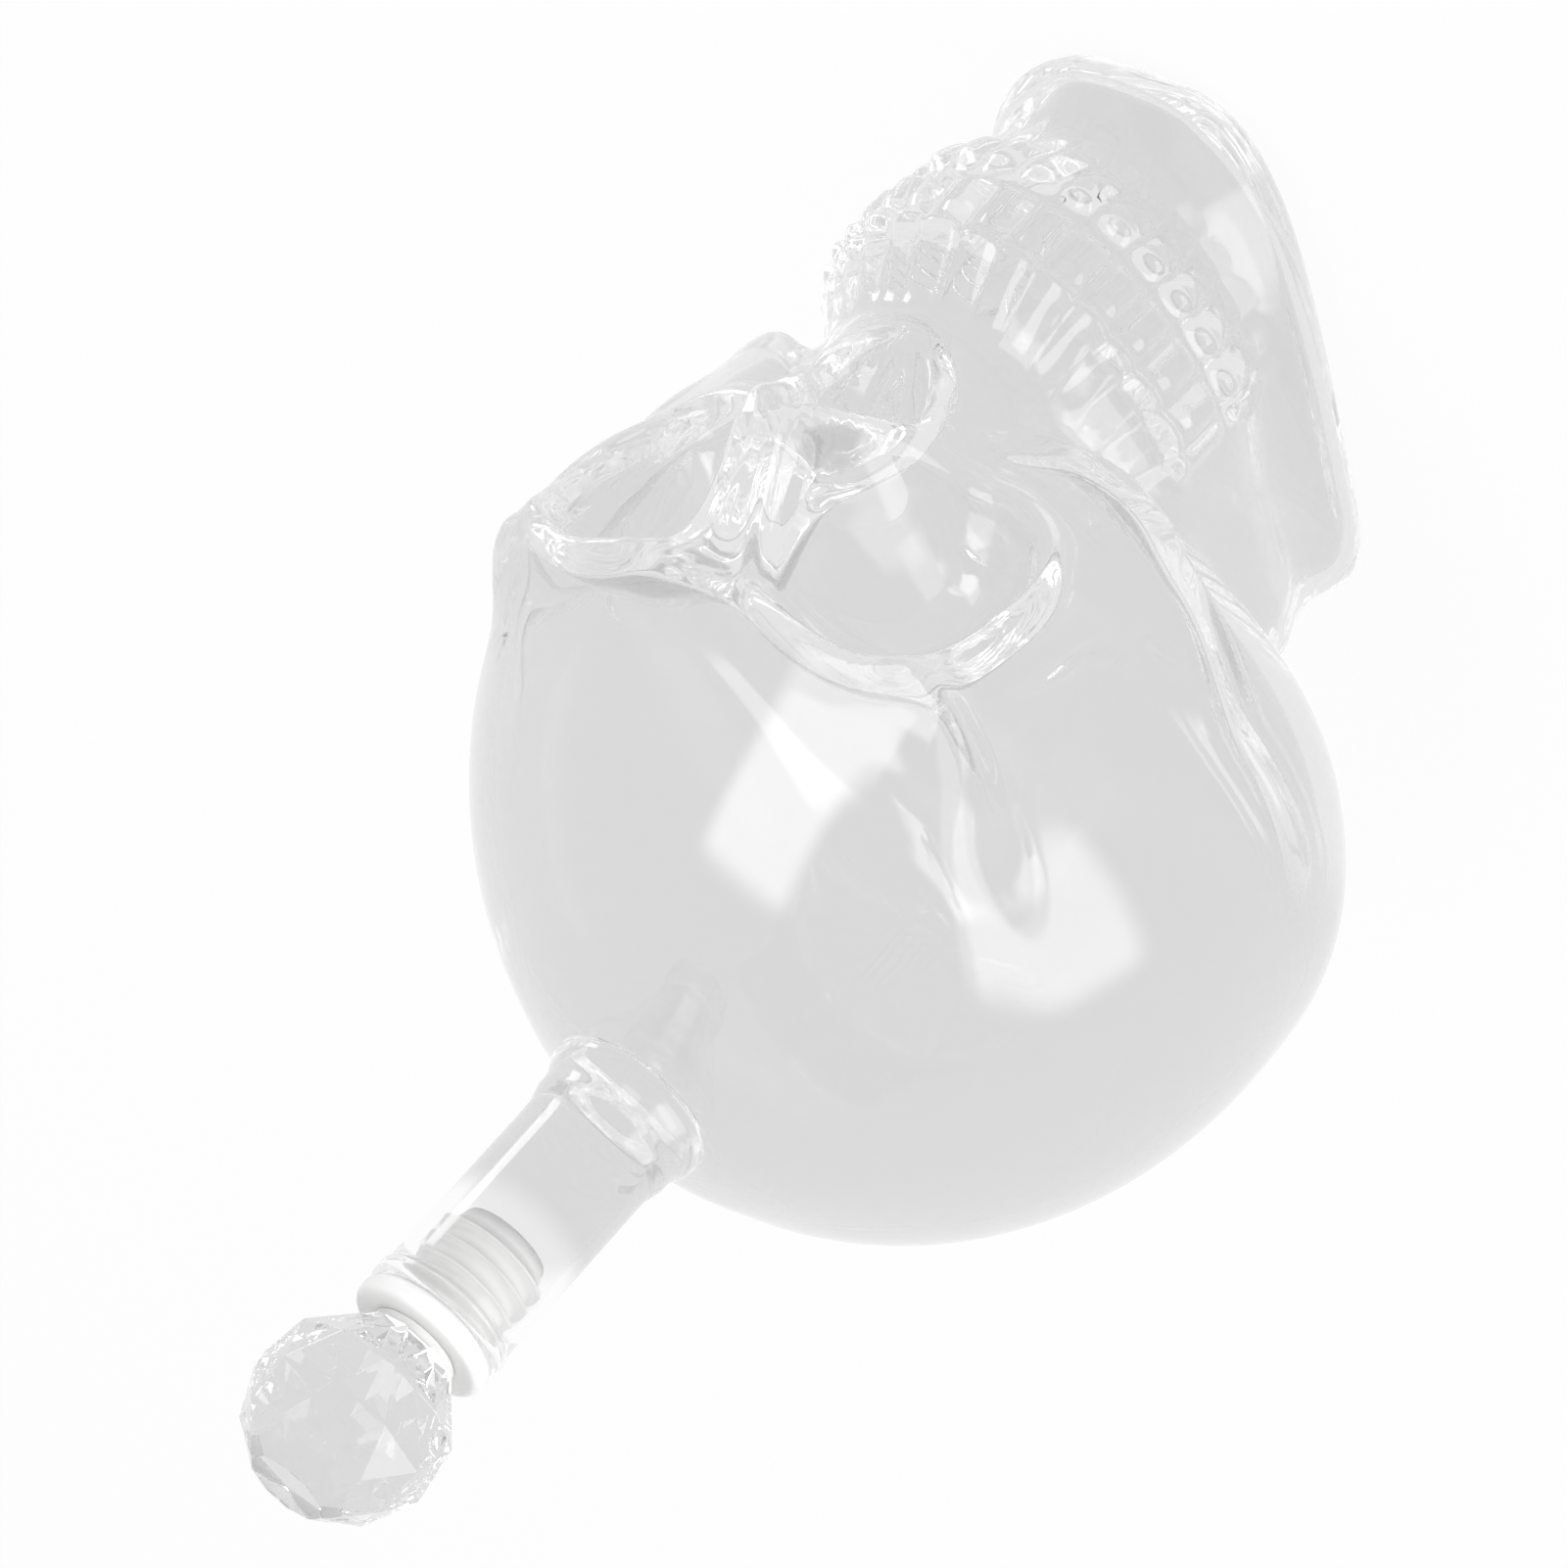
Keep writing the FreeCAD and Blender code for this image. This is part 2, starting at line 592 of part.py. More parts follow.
def stopper_plug():
    top = LIP_TOP + FLANGE_THICK
    bottom = LIP_TOP - PLUG_LENGTH
    fin_radius = BORE_RADIUS - FIT_GAP
    outline = [(0, top - SOCKET_DEPTH), (SOCKET_RADIUS, top - SOCKET_DEPTH), (SOCKET_RADIUS, top)]
    rim = FLANGE_RADIUS - FLANGE_ROUND
    outline += round_points(rim, top - FLANGE_ROUND, FLANGE_ROUND, 90, 0, ROUND_STEPS)
    outline += round_points(rim, LIP_TOP + FLANGE_ROUND, FLANGE_ROUND, 0, -90, ROUND_STEPS)
    outline += [(PLUG_RADIUS, LIP_TOP)]
    for i in range(FIN_COUNT):
        z = LIP_TOP - FIN_FIRST - FIN_PITCH * i
        outline += [(PLUG_RADIUS, z), (fin_radius, z - (FIN_THICK - FIN_TIP) / 2)]
        outline += [(fin_radius, z - (FIN_THICK + FIN_TIP) / 2), (PLUG_RADIUS, z - FIN_THICK)]
    outline += [(PLUG_RADIUS, bottom + PLUG_END_LENGTH), (PLUG_END_RADIUS, bottom)]
    hollow = PLUG_END_RADIUS - PLUG_WALL
    web = top - SOCKET_DEPTH - SOCKET_WEB
    outline += [(hollow, bottom), (hollow, web), (0, web)]
    return turned(outline)


# The ball's corners lie on rings, each ring turned by half a step from the one below
def stopper_ball():
    rings = []
    low = KNOB_RADIUS * math.sin(math.radians(KNOB_RING_ANGLES[0]))
    seat = LIP_TOP + FLANGE_THICK
    for k, angle in enumerate(KNOB_RING_ANGLES):
        r = KNOB_RADIUS * math.cos(math.radians(angle))
        z = KNOB_RADIUS * math.sin(math.radians(angle)) - low + seat + SEAT_HEIGHT
        ring = []
        for i in range(KNOB_SIDES):
            turn = 2 * math.pi * (i + k / 2) / KNOB_SIDES
            ring.append(FreeCAD.Vector(r * math.cos(turn), r * math.sin(turn), z))
        rings.append(ring)

    def facet(corners):
        return Part.Face(Part.makePolygon(corners + [corners[0]]))

    facets = [facet(rings[0]), facet(rings[-1])]
    for lower, upper in zip(rings[:-1], rings[1:]):
        for i in range(KNOB_SIDES):
            j = (i + 1) % KNOB_SIDES
            facets.append(facet([lower[i], lower[j], upper[i]]))
            facets.append(facet([lower[j], upper[j], upper[i]]))
    shell = Part.Shell(facets)
    shell.sewShape()
    ball = Part.Solid(shell)
    if ball.Volume < 0:
        ball.reverse()
    peg_end = seat - PEG_LENGTH
    foot = turned([(0, peg_end), (PEG_RADIUS, peg_end), (PEG_RADIUS, seat), (SEAT_RADIUS, seat),
                   (SEAT_RADIUS, seat + SEAT_HEIGHT), (0, seat + SEAT_HEIGHT)])
    return ball.fuse(foot).removeSplitter()


skull_body().exportStep("parts/skull_body.step")
neck_tube().exportStep("parts/neck_tube.step")
stopper_plug().exportStep("parts/stopper_plug.step")
stopper_ball().exportStep("parts/stopper_ball.step")
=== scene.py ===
import math

import bpy
import numpy as np
from mathutils import Matrix, Vector


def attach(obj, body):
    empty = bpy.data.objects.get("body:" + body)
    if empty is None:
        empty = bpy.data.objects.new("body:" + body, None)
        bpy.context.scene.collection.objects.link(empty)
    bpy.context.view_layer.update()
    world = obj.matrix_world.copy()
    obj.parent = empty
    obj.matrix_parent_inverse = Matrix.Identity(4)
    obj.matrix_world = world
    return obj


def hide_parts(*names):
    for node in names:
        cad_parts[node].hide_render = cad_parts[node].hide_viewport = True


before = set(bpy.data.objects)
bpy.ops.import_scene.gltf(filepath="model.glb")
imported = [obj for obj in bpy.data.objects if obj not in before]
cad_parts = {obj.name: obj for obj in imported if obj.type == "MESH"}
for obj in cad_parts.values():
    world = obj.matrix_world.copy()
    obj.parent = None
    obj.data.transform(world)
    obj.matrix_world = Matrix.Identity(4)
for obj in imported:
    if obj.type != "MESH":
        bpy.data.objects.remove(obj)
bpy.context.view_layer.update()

# Sizes in millimetres, turned into metres when a mesh is made.
# The face looks along -Y, up is +Z, the neck stands on the Z axis.
MM = 0.001

# Glass walls
WALL = 3.0
FLOOR = 5.0
BASE_EDGE = 3.0

# Cranium, a ball whose front is cut back below the brow
BALL_Y = -2.7
BALL_Z = 78.5
BALL_HALF_WIDTH = 65.5
BALL_HALF_LENGTH = 77.3
BALL_UP = 74.3
BALL_DOWN = 38.4
UP_POWER = 2.0
DOWN_POWER = 3.3
FRONT_CUT_SHARE = 0.24
CUT_LOW = 98.0
CUT_HIGH = 114.0
CUT_RISE = 26.0
CUT_CORNER = 33.0

# Face and jaw, a block with a rounded outline at each height
FACE_TOP = 134.0
FACE_REACH = 78.0
FACE_HALF_WIDTH = 46.0
JAW_BACK = 14.0
BACK_SQUARENESS = 4.2
SIDE_SQUARENESS = 2.6
# each row: height, front reach, half width, back reach, then the squareness of the outline in front
FACE_SECTION_SHARES = np.array((
    (0.000, 0.980, 0.480, 0.79, 4.4),
    (0.037, 1.000, 0.530, 0.86, 3.8),
    (0.090, 0.987, 0.580, 1.00, 3.0),
    (0.164, 0.974, 0.625, 0.93, 2.5),
    (0.246, 1.000, 0.717, 0.86, 2.4),
    (0.336, 0.994, 0.750, 0.98, 2.4),
    (0.418, 0.925, 0.815, 0.95, 2.2),
    (0.493, 0.800, 0.891, 0.71, 3.2),
    (0.567, 0.765, 0.967, 0.71, 5.0),
    (0.687, 0.808, 0.989, 0.71, 6.5),
    (0.806, 0.853, 0.957, 0.71, 5.0),
    (0.866, 0.769, 0.870, 0.71, 3.0),
    (0.940, 0.385, 0.435, 0.71, 2.4),
    (1.000, 0.051, 0.065, 0.29, 2.2),
))
JOIN_SOFTNESS = 3.0
LEAST_SHARE = 0.0001

# Where a feature of the face fades out towards the back
FACE_FULL_Y = -60.0
FACE_GONE_Y = -38.0
SIDE_FULL_Y = -46.0
SIDE_GONE_Y = -20.0

# Eye sockets
ORBIT_X = 21.0
ORBIT_Z = 93.0
ORBIT_HALF_WIDTH = 14.8
ORBIT_HALF_HEIGHT = 18.2
ORBIT_DROOP = 2.0
ORBIT_DEPTH = 15.0
ORBIT_RIM = 1.6
RIM_WIDTH = 1.8
RIM_OFFSET = 1.5
ROUNDNESS = 2.4
CUP_POWER = 0.9

# Brow
BROW_Z = 112.8
BROW_HEIGHT = 2.6
BROW_WIDTH = 5.6
BROW_END_X = 36.0
BROW_GONE_X = 46.0
CORNER_X = 39.0
CORNER_Z = 110.5
CORNER_HEIGHT = 5.0
CORNER_WIDTH = 4.8

# Nose
MUZZLE_HEIGHT = 11.0
MUZZLE_WIDTH = 16.0
MUZZLE_POWER = 4
MUZZLE_LOW = 52.0
MUZZLE_HIGH = 114.0
MUZZLE_SOFT = 16.0
MUZZLE_FADE = 38.0
NOSE_TOP = 112.5
NOSE_TIP = 92.0
NOSE_UNDER = 88.0
NOSE_HEIGHT = 16.0
NOSE_SPREAD_SHARE = 1.5
NOSE_FADE = 26.0
BRIDGE_HALF_WIDTH = 5.5
TIP_EXTRA_WIDTH = 3.5
HOLE_Z = 76.0
HOLE_HALF_HEIGHT = 14.0
HOLE_TOP_HALF_WIDTH = 4.0
HOLE_EXTRA_WIDTH = 6.6
HOLE_WIDE_Z = 69.0
HOLE_DEPTH = 9.0
HOLE_RIM = 1.5
SEPTUM = 4.0
SEPTUM_WIDTH = 1.8

# Temple, a shallow hollow with an edge behind the eye socket and a line over it
TEMPLE_DEPTH = 2.0
TEMPLE_LOW_Y = -48.6
TEMPLE_LOW_Z = 76.6
TEMPLE_HIGH_Y = -61.0
TEMPLE_HIGH_Z = 113.0
TEMPLE_EDGE = 4.0
TEMPLE_RISE = 26.0
TEMPLE_RISE_LENGTH = 50.0
TEMPLE_SLOPE = 40.0
TEMPLE_GONE_Y = -8.0
TEMPLE_FLOOR = 77.0
TEMPLE_FLOOR_SOFT = 7.0
TEMPLE_START_X = 31.0
TEMPLE_FULL_X = 37.0

# Cheekbone and the arch behind it
CHEEK_Z = 55.5
CHEEK_HOLD_Z = 70.0
CHEEK_RISE_FRONT = 26.0
CHEEK_FRONT_WIDTH = 17.0
CHEEK_RISE_BACK = 13.0
CHEEK_BEND_Y = -52.0
ARCH_START_Y = -26.0
CHEEK_EDGE = 3.6
CHEEK_FLAT = 3.0
CHEEK_SLOPE = 20.0
CHEEK_REACH = 4.2
CHEEK_START_X = 8.0
CHEEK_FULL_X = 28.0
ARCH_FLAT = 6.0
ARCH_SLOPE = 4.0
ARCH_REACH_SHARE = 0.2
ARCH_END_Y = -24.0
ARCH_GONE_Y = 6.0
HOLLOW_DEPTH = 2.0
HOLLOW_Y = -46.0
HOLLOW_Z = 53.0
HOLLOW_HALF_LENGTH = 16.0
HOLLOW_HALF_HEIGHT = 6.0
HOLLOW_START_X = 16.0
HOLLOW_FULL_X = 30.0

# Teeth, widths along the arch from the middle
TOOTH_WIDTHS = (6.4, 5.6, 6.2, 6.0, 6.2, 7.4, 7.6, 7.0)
UPPER_GUM = 45.0
BITE = 33.7
LOWER_GUM = 22.5
UPPER_TOOTH = 3.0
LOWER_TOOTH = 2.6
TOOTH_ROUND = 3.6
TOOTH_POWER = 2.2
GAP_SHARE = 0.1
ROOT_HEIGHT = 1.4
UPPER_ROOT_LENGTH = 13.0
LOWER_ROOT_LENGTH = 9.0
GUM_BEAD = 1.6
GUM_BEAD_WIDTH = 1.3
SOCKET_HEIGHT = 3.0
SOCKET_SOFT = 12.0
ROW_FADE = 14.0

# Chin and lower border of the jaw
CHIN_Z = 10.0
CHIN_HEIGHT = 2.0
CHIN_WIDTH = 16.0
CHIN_TALL = 6.0
BORDER_Z = 8.0
BORDER_HEIGHT = 4.2
BORDER_TALL = 7.0
BORDER_START_X = 12.0
BORDER_FULL_X = 22.0

# The rounded fold between the jaw's back and the cranium
FOLD_ROUNDS = 40
FOLD_START_Y = -12.0
FOLD_FULL_Y = 0.0
FOLD_LOW = 30.0
FOLD_HIGH = 50.0
FOLD_SOFT = 5.0

# The inside of the wall, softer than the outside and plain behind the face
INSIDE_FINE_SHARE = 0.0
SOFTENING_ROUNDS = 30
SMOOTHING_ROUNDS = 12
PLAIN_START_Y = -56.0
PLAIN_FULL_Y = -42.0

# Neck tube, welded to the crown
WELD_Z = 160.0
WELD_RADIUS = 11.8
COLLAR_Z = 152.0
COLLAR_SOFTNESS = 8.0
COLLAR_SPAN = 6.0
CENTRE_SPAN = 10.0
NECK_RADIUS = 11.0
BORE_RADIUS = 9.2
NECK_LENGTH = 39.0
WELD_FLARE = 3.0
LIP_RADIUS = 11.5
LIP_HEIGHT = 3.6
LIP_ROUND = 1.2
LIP_START_ANGLE = -60.0
LIP_TOP = WELD_Z + NECK_LENGTH

# Plug of the stopper
FIT_GAP = 0.08
REST_GAP = 0.05
FLANGE_RADIUS = 11.2
FLANGE_THICK = 3.6
FLANGE_ROUND = 1.2
PLUG_LENGTH = 16.5
PLUG_RADIUS = 7.7
PLUG_END_RADIUS = 7.0
PLUG_END_LENGTH = 2.0
PLUG_WALL = 1.6
FIN_COUNT = 4
FIN_THICK = 1.2
FIN_FIRST = 2.4
FIN_PITCH = 3.2
SOCKET_RADIUS = 4.0
SOCKET_DEPTH = 6.0
SOCKET_WEB = 2.0

# Cut ball of the stopper, rings of corners from the seat to the table
KNOB_RADIUS = 15.4
KNOB_SIDES = 10
KNOB_RING_ANGLES = (-57.0, -18.0, 10.0, 38.0, 65.0)
KNOB_BEVEL = 0.09
KNOB_BEVEL_ANGLE = 8.0
SEAT_RADIUS = 7.2
SEAT_HEIGHT = 1.7
PEG_RADIUS = 3.95
PEG_LENGTH = 5.7

# Numbers of rings from level to level and of points along a half ring, outside and inside
DOME_Z = 134.0
OUTSIDE_RINGS = (8, 12, 10, 20, 40, 120, 16, 30, 12)
TOOTH_STEPS = 9
SIDE_STEPS = 56
SIDE_TURN = 100.0
BACK_STEPS = 32
ARCH_STEPS = 400
ROUND_STEPS = 8
CIRCLE_STEPS = 96
FLARE_STEPS = 4
NECK_STEPS = 12
BORE_STEPS = 16
SOCKET_STEPS = 4

# Rings that close a flat end, as shares of its size
CAP_SHARES = (0.3, 0.65, 0.9)
DISC_SHARES = (0.3, 0.95)


def blend(low, high, value):
    t = np.clip((value - low) / (high - low), 0.0, 1.0)
    return t * t * (3 - 2 * t)


def bell(distance, width):
    return np.exp(-(distance / width) ** 2)


def smooth_max(a, b, softness):
    return (a + b + np.sqrt((a - b) ** 2 + softness ** 2)) / 2


# One column of the face's sections at heights z, eased between the rows
def section(z, column):
    places = FACE_SECTION_SHARES[:, 0]
    values = FACE_SECTION_SHARES[:, column]
    steps = np.diff(places)
    rates = np.diff(values) / steps
    slopes = np.zeros(len(places))
    turning = rates[:-1] * rates[1:] > 0
    means = 2 * rates[:-1] * rates[1:] / np.where(turning, rates[:-1] + rates[1:], 1.0)
    slopes[1:-1] = np.where(turning, means, 0.0)
    share = np.clip(z / FACE_TOP, 0.0, 1.0)
    i = np.clip(np.searchsorted(places, share, side="left") - 1, 0, len(steps) - 1)
    t = (share - places[i]) / steps[i]
    return ((2 * t ** 3 - 3 * t ** 2 + 1) * values[i]
            + (t ** 3 - 2 * t ** 2 + t) * steps[i] * slopes[i]
            + (3 * t ** 2 - 2 * t ** 3) * values[i + 1]
            + (t ** 3 - t ** 2) * steps[i] * slopes[i + 1])


# Distance from the ball's upright axis to the cranium
def ball_radius(turn, z, inset):
    up = z >= BALL_Z
    d = np.where(up, (z - BALL_Z) / (BALL_UP - inset), (BALL_Z - z) / (BALL_DOWN - inset))
    power = np.where(up, UP_POWER, DOWN_POWER)
    scale = np.sqrt(np.maximum(LEAST_SHARE, 1 - np.minimum(1.0, d) ** power))
    c = np.cos(turn)
    rise = CUT_RISE * np.maximum(0.0, math.cos(math.radians(CUT_CORNER)) - c)
    cut = 1 - FRONT_CUT_SHARE * (1 - blend(CUT_LOW + rise, CUT_HIGH + rise, z))
    length = (BALL_HALF_LENGTH - inset) * scale * np.where(c > 0, cut, 1.0)
    width = (BALL_HALF_WIDTH - inset) * scale
    return ((np.sin(turn) / width) ** 2 + (c / length) ** 2) ** -0.5


# Distance from the same axis to the face and jaw
def face_radius(turn, z, inset):
    c = np.cos(turn)
    width = np.maximum(FACE_HALF_WIDTH * section(z, 2) - inset, max(inset, FIT_GAP))
    ahead = np.maximum(FACE_REACH * section(z, 1) + BALL_Y - inset, max(inset, FIT_GAP))
    behind = np.maximum(JAW_BACK * section(z, 3) - BALL_Y - inset, max(inset, FIT_GAP))
    length = np.where(c > 0, ahead, behind)
    power = np.where(c > 0, section(z, 4), BACK_SQUARENESS)
    power = SIDE_SQUARENESS + (power - SIDE_SQUARENESS) * np.minimum(1.0, np.abs(c) * SIDE_SQUARENESS)
    reach = (np.abs(np.sin(turn)) / width) ** power + (np.abs(c) / length) ** power
    return reach ** (-1 / power)


# Height of the cheekbone's lower border, and how far a point lies back along the arch
def cheek_border(x, y):
    face = 1 - blend(FACE_FULL_Y, FACE_GONE_Y, y)
    arch = blend(CHEEK_BEND_Y, ARCH_START_Y, y)
    rise = CHEEK_RISE_FRONT * bell(x, CHEEK_FRONT_WIDTH) * face + CHEEK_RISE_BACK * arch
    return CHEEK_Z + rise, arch


# The cheek keeps the outline of a higher section down to its border, and overhangs the jaw there
def form_radius(turn, z, inset):
    low = face_radius(turn, z, inset)
    high = face_radius(turn, np.maximum(z, CHEEK_HOLD_Z), inset)
    border, arch = cheek_border(high * np.sin(turn), BALL_Y - high * np.cos(turn))
    face = low + (high - low) * blend(-CHEEK_EDGE / 2, CHEEK_EDGE / 2, z - border - inset)
    return smooth_max(ball_radius(turn, z, inset), face, JOIN_SOFTNESS) - JOIN_SOFTNESS / 4


# Running length of the tooth row over the turn, measured at the bite
ARCH_TURNS = np.linspace(0.0, math.pi / 2, ARCH_STEPS + 1)
ARCH_RADII = face_radius(ARCH_TURNS, np.full(ARCH_STEPS + 1, BITE), 0)
ARCH_PIECES = np.hypot(np.diff(ARCH_RADII * np.sin(ARCH_TURNS)), np.diff(ARCH_RADII * np.cos(ARCH_TURNS)))
ARCH = np.concatenate(([0.0], np.cumsum(ARCH_PIECES)))
ROW_LENGTH = sum(TOOTH_WIDTHS)


# 0 in the gap between two teeth, 1 in the middle of a tooth
def tooth_wave(along):
    wave = np.zeros_like(along)
    start = 0.0
    for width in TOOTH_WIDTHS:
        here = (along >= start) & (along < start + width)
        hump = 1 - np.abs(2 * (along - start) / width - 1) ** TOOTH_POWER
        wave = np.where(here, hump, wave)
        start += width
    return wave


# A rounded cup: 1 in the middle, 0 at the rim
def cup(r):
    return np.maximum(0.0, 1 - np.minimum(r, 1.0) ** ROUNDNESS) ** CUP_POWER


# How far the features move a point: straight back, and out from the outline
def eye_socket(x, y, z, grow, fine):
    side = 1 - blend(SIDE_FULL_Y, SIDE_GONE_Y, y)
    u = (x - ORBIT_X) / (ORBIT_HALF_WIDTH + grow)
    droop = np.where(z < ORBIT_Z, ORBIT_DROOP * u, 0.0)
    v = (z - ORBIT_Z) / (ORBIT_HALF_HEIGHT + grow + droop)
    r = (np.abs(u) ** ROUNDNESS + np.abs(v) ** ROUNDNESS) ** (1 / ROUNDNESS)
    rim = bell((r - 1) * ORBIT_HALF_WIDTH - RIM_OFFSET, RIM_WIDTH) * side * fine
    back = ORBIT_DEPTH * cup(r) * side - ORBIT_RIM * rim
    return back, ORBIT_RIM * rim * blend(0, 1, u)


def brow(x, y, z, inset):
    face = 1 - blend(FACE_FULL_Y, FACE_GONE_Y, y)
    side = 1 - blend(SIDE_FULL_Y, SIDE_GONE_Y, y)
    ridge = bell(z - BROW_Z, BROW_WIDTH) * (1 - blend(BROW_END_X, BROW_GONE_X, x))
    corner = bell(z - CORNER_Z, CORNER_WIDTH) * bell(x + inset - CORNER_X, CORNER_WIDTH)
    return -BROW_HEIGHT * ridge * face, CORNER_HEIGHT * corner * side


def nose(x, y, z, grow, fine):
    face = 1 - blend(FACE_FULL_Y, FACE_GONE_Y, y)
    low = blend(MUZZLE_LOW, MUZZLE_LOW + MUZZLE_SOFT, z)
    high = 1 - blend(MUZZLE_HIGH - MUZZLE_FADE, MUZZLE_HIGH, z)
    back = -MUZZLE_HEIGHT * np.exp(-(x / MUZZLE_WIDTH) ** MUZZLE_POWER) * low * high
    drop = np.clip((NOSE_TOP - z) / (NOSE_TOP - NOSE_TIP), 0.0, 1.0)
    ridge = np.exp(-(x / (BRIDGE_HALF_WIDTH + TIP_EXTRA_WIDTH * drop)) ** 2)
    under = blend(NOSE_UNDER, NOSE_TIP, z + NOSE_SPREAD_SHARE * x)
    under = under * (1 - blend(NOSE_TIP, NOSE_TIP - NOSE_FADE, z))
    back = back - NOSE_HEIGHT * drop * under * ridge * fine
    half = HOLE_TOP_HALF_WIDTH + HOLE_EXTRA_WIDTH * (1 - blend(HOLE_WIDE_Z, NOSE_TIP, z))
    q = np.hypot(x / (half + grow), (z - HOLE_Z) / (HOLE_HALF_HEIGHT + grow))
    back = back + cup(q) * (HOLE_DEPTH - SEPTUM * bell(x, SEPTUM_WIDTH) * fine)
    rim = bell((q - 1) * half - RIM_OFFSET, RIM_WIDTH)
    rim = rim * (1 - blend(NOSE_UNDER, NOSE_TIP, z))
    return (back - HOLE_RIM * rim * fine) * face


def temple(x, y, z):
    lean = (TEMPLE_HIGH_Y - TEMPLE_LOW_Y) / (TEMPLE_HIGH_Z - TEMPLE_LOW_Z)
    front = TEMPLE_LOW_Y + lean * (z - TEMPLE_LOW_Z)
    behind = np.clip((y - TEMPLE_HIGH_Y) / TEMPLE_RISE_LENGTH, 0.0, 1.0)
    top = TEMPLE_HIGH_Z + TEMPLE_RISE * behind * (2 - behind)
    hollow = blend(0, TEMPLE_EDGE, y - front) * np.clip((top - z) / TEMPLE_SLOPE, 0.0, 1.0)
    hollow = hollow * np.clip((TEMPLE_GONE_Y - y) / (TEMPLE_GONE_Y - TEMPLE_HIGH_Y), 0.0, 1.0)
    hollow = hollow * blend(TEMPLE_FLOOR, TEMPLE_FLOOR + TEMPLE_FLOOR_SOFT, z)
    return -TEMPLE_DEPTH * hollow * blend(TEMPLE_START_X, TEMPLE_FULL_X, x)


def cheek(x, y, z, inset):
    border, arch = cheek_border(x, y)
    top = border + CHEEK_FLAT + (ARCH_FLAT - CHEEK_FLAT) * arch
    slope = CHEEK_SLOPE + (ARCH_SLOPE - CHEEK_SLOPE) * arch
    band = blend(-CHEEK_EDGE / 2, CHEEK_EDGE / 2, z - border - inset)
    band = band * (1 - blend(top, top + slope, z))
    reach = CHEEK_REACH * blend(CHEEK_START_X, CHEEK_FULL_X, x) * (1 - ARCH_REACH_SHARE * arch)
    reach = reach * (1 - blend(ARCH_END_Y, ARCH_GONE_Y, y))
    hollow = bell(z - HOLLOW_Z, HOLLOW_HALF_HEIGHT) * bell(y - HOLLOW_Y, HOLLOW_HALF_LENGTH)
    return reach * band - HOLLOW_DEPTH * hollow * blend(HOLLOW_START_X, HOLLOW_FULL_X, x)


def teeth(turn, z, fine):
    along = np.interp(turn, ARCH_TURNS, ARCH)
    sockets = 1 - blend(ROW_LENGTH - ROW_FADE, ROW_LENGTH + ROW_FADE, along)
    sockets = sockets * blend(LOWER_GUM - SOCKET_SOFT / 2, LOWER_GUM + SOCKET_SOFT / 2, z)
    sockets = sockets * (1 - blend(UPPER_GUM, UPPER_GUM + SOCKET_SOFT, z))
    row = 1 - blend(ROW_LENGTH - ROW_FADE / 2, ROW_LENGTH, along)
    wave = tooth_wave(along) * row
    crown = (GAP_SHARE + (1 - GAP_SHARE) * wave) * row
    upper = blend(BITE, BITE + TOOTH_ROUND, z) * (1 - blend(UPPER_GUM - TOOTH_ROUND, UPPER_GUM, z))
    lower = blend(LOWER_GUM, LOWER_GUM + TOOTH_ROUND, z) * (1 - blend(BITE - TOOTH_ROUND, BITE, z))
    roots = blend(UPPER_GUM - TOOTH_ROUND, UPPER_GUM, z)
    roots = roots * (1 - blend(UPPER_GUM, UPPER_GUM + UPPER_ROOT_LENGTH, z))
    low_roots = blend(LOWER_GUM - LOWER_ROOT_LENGTH, LOWER_GUM, z)
    roots = roots + low_roots * (1 - blend(LOWER_GUM, LOWER_GUM + TOOTH_ROUND, z))
    bead = GUM_BEAD * bell(z - UPPER_GUM - GUM_BEAD_WIDTH / 2, GUM_BEAD_WIDTH) * row
    detail = (UPPER_TOOTH * upper + LOWER_TOOTH * lower) * crown + ROOT_HEIGHT * roots * wave + bead
    return SOCKET_HEIGHT * sockets + detail * fine


def chin(x, y, z):
    face = 1 - blend(FACE_FULL_Y, FACE_GONE_Y, y)
    out = CHIN_HEIGHT * bell(z - CHIN_Z, CHIN_TALL) * bell(x, CHIN_WIDTH) * face
    return out + BORDER_HEIGHT * bell(z - BORDER_Z, BORDER_TALL) * blend(BORDER_START_X, BORDER_FULL_X, x)


# Points of the skull's surface; inset 0 gives the outside, the wall gives the inside.
# fine is how much of the small detail a surface takes.
def skull_points(turn, z, inset, bottom, tube_radius, fine):
    r = form_radius(turn, z, inset)
    near_neck = blend(COLLAR_Z - CENTRE_SPAN, COLLAR_Z, z)
    softness = COLLAR_SOFTNESS * near_neck * blend(WELD_Z, WELD_Z - COLLAR_SPAN, z)
    r = smooth_max(r, tube_radius, softness)
    middle = BALL_Y * (1 - near_neck)
    x = r * np.sin(turn)
    y = middle - r * np.cos(turn)
    tiny = 0.001
    after = form_radius(turn + tiny, z, inset)
    before = form_radius(turn - tiny, z, inset)
    along_x = after * np.sin(turn + tiny) - before * np.sin(turn - tiny)
    along_y = before * np.cos(turn - tiny) - after * np.cos(turn + tiny)
    size = np.hypot(along_x, along_y)
    nx = along_y / size
    ny = -along_x / size
    back, out = eye_socket(x, y, z, inset, fine)
    brow_back, brow_out = brow(x, y, z, inset)
    back = back + brow_back + nose(x, y, z, inset, fine)
    out = out + brow_out + temple(x, y, z) + cheek(x, y, z, inset) + teeth(turn, z, fine) + chin(x, y, z)
    rest = np.clip(bottom + BASE_EDGE - z, 0.0, BASE_EDGE)
    out = out - (BASE_EDGE - np.sqrt(BASE_EDGE ** 2 - rest ** 2))
    return np.stack((x + nx * out, y + ny * out + back, z), axis=-1)


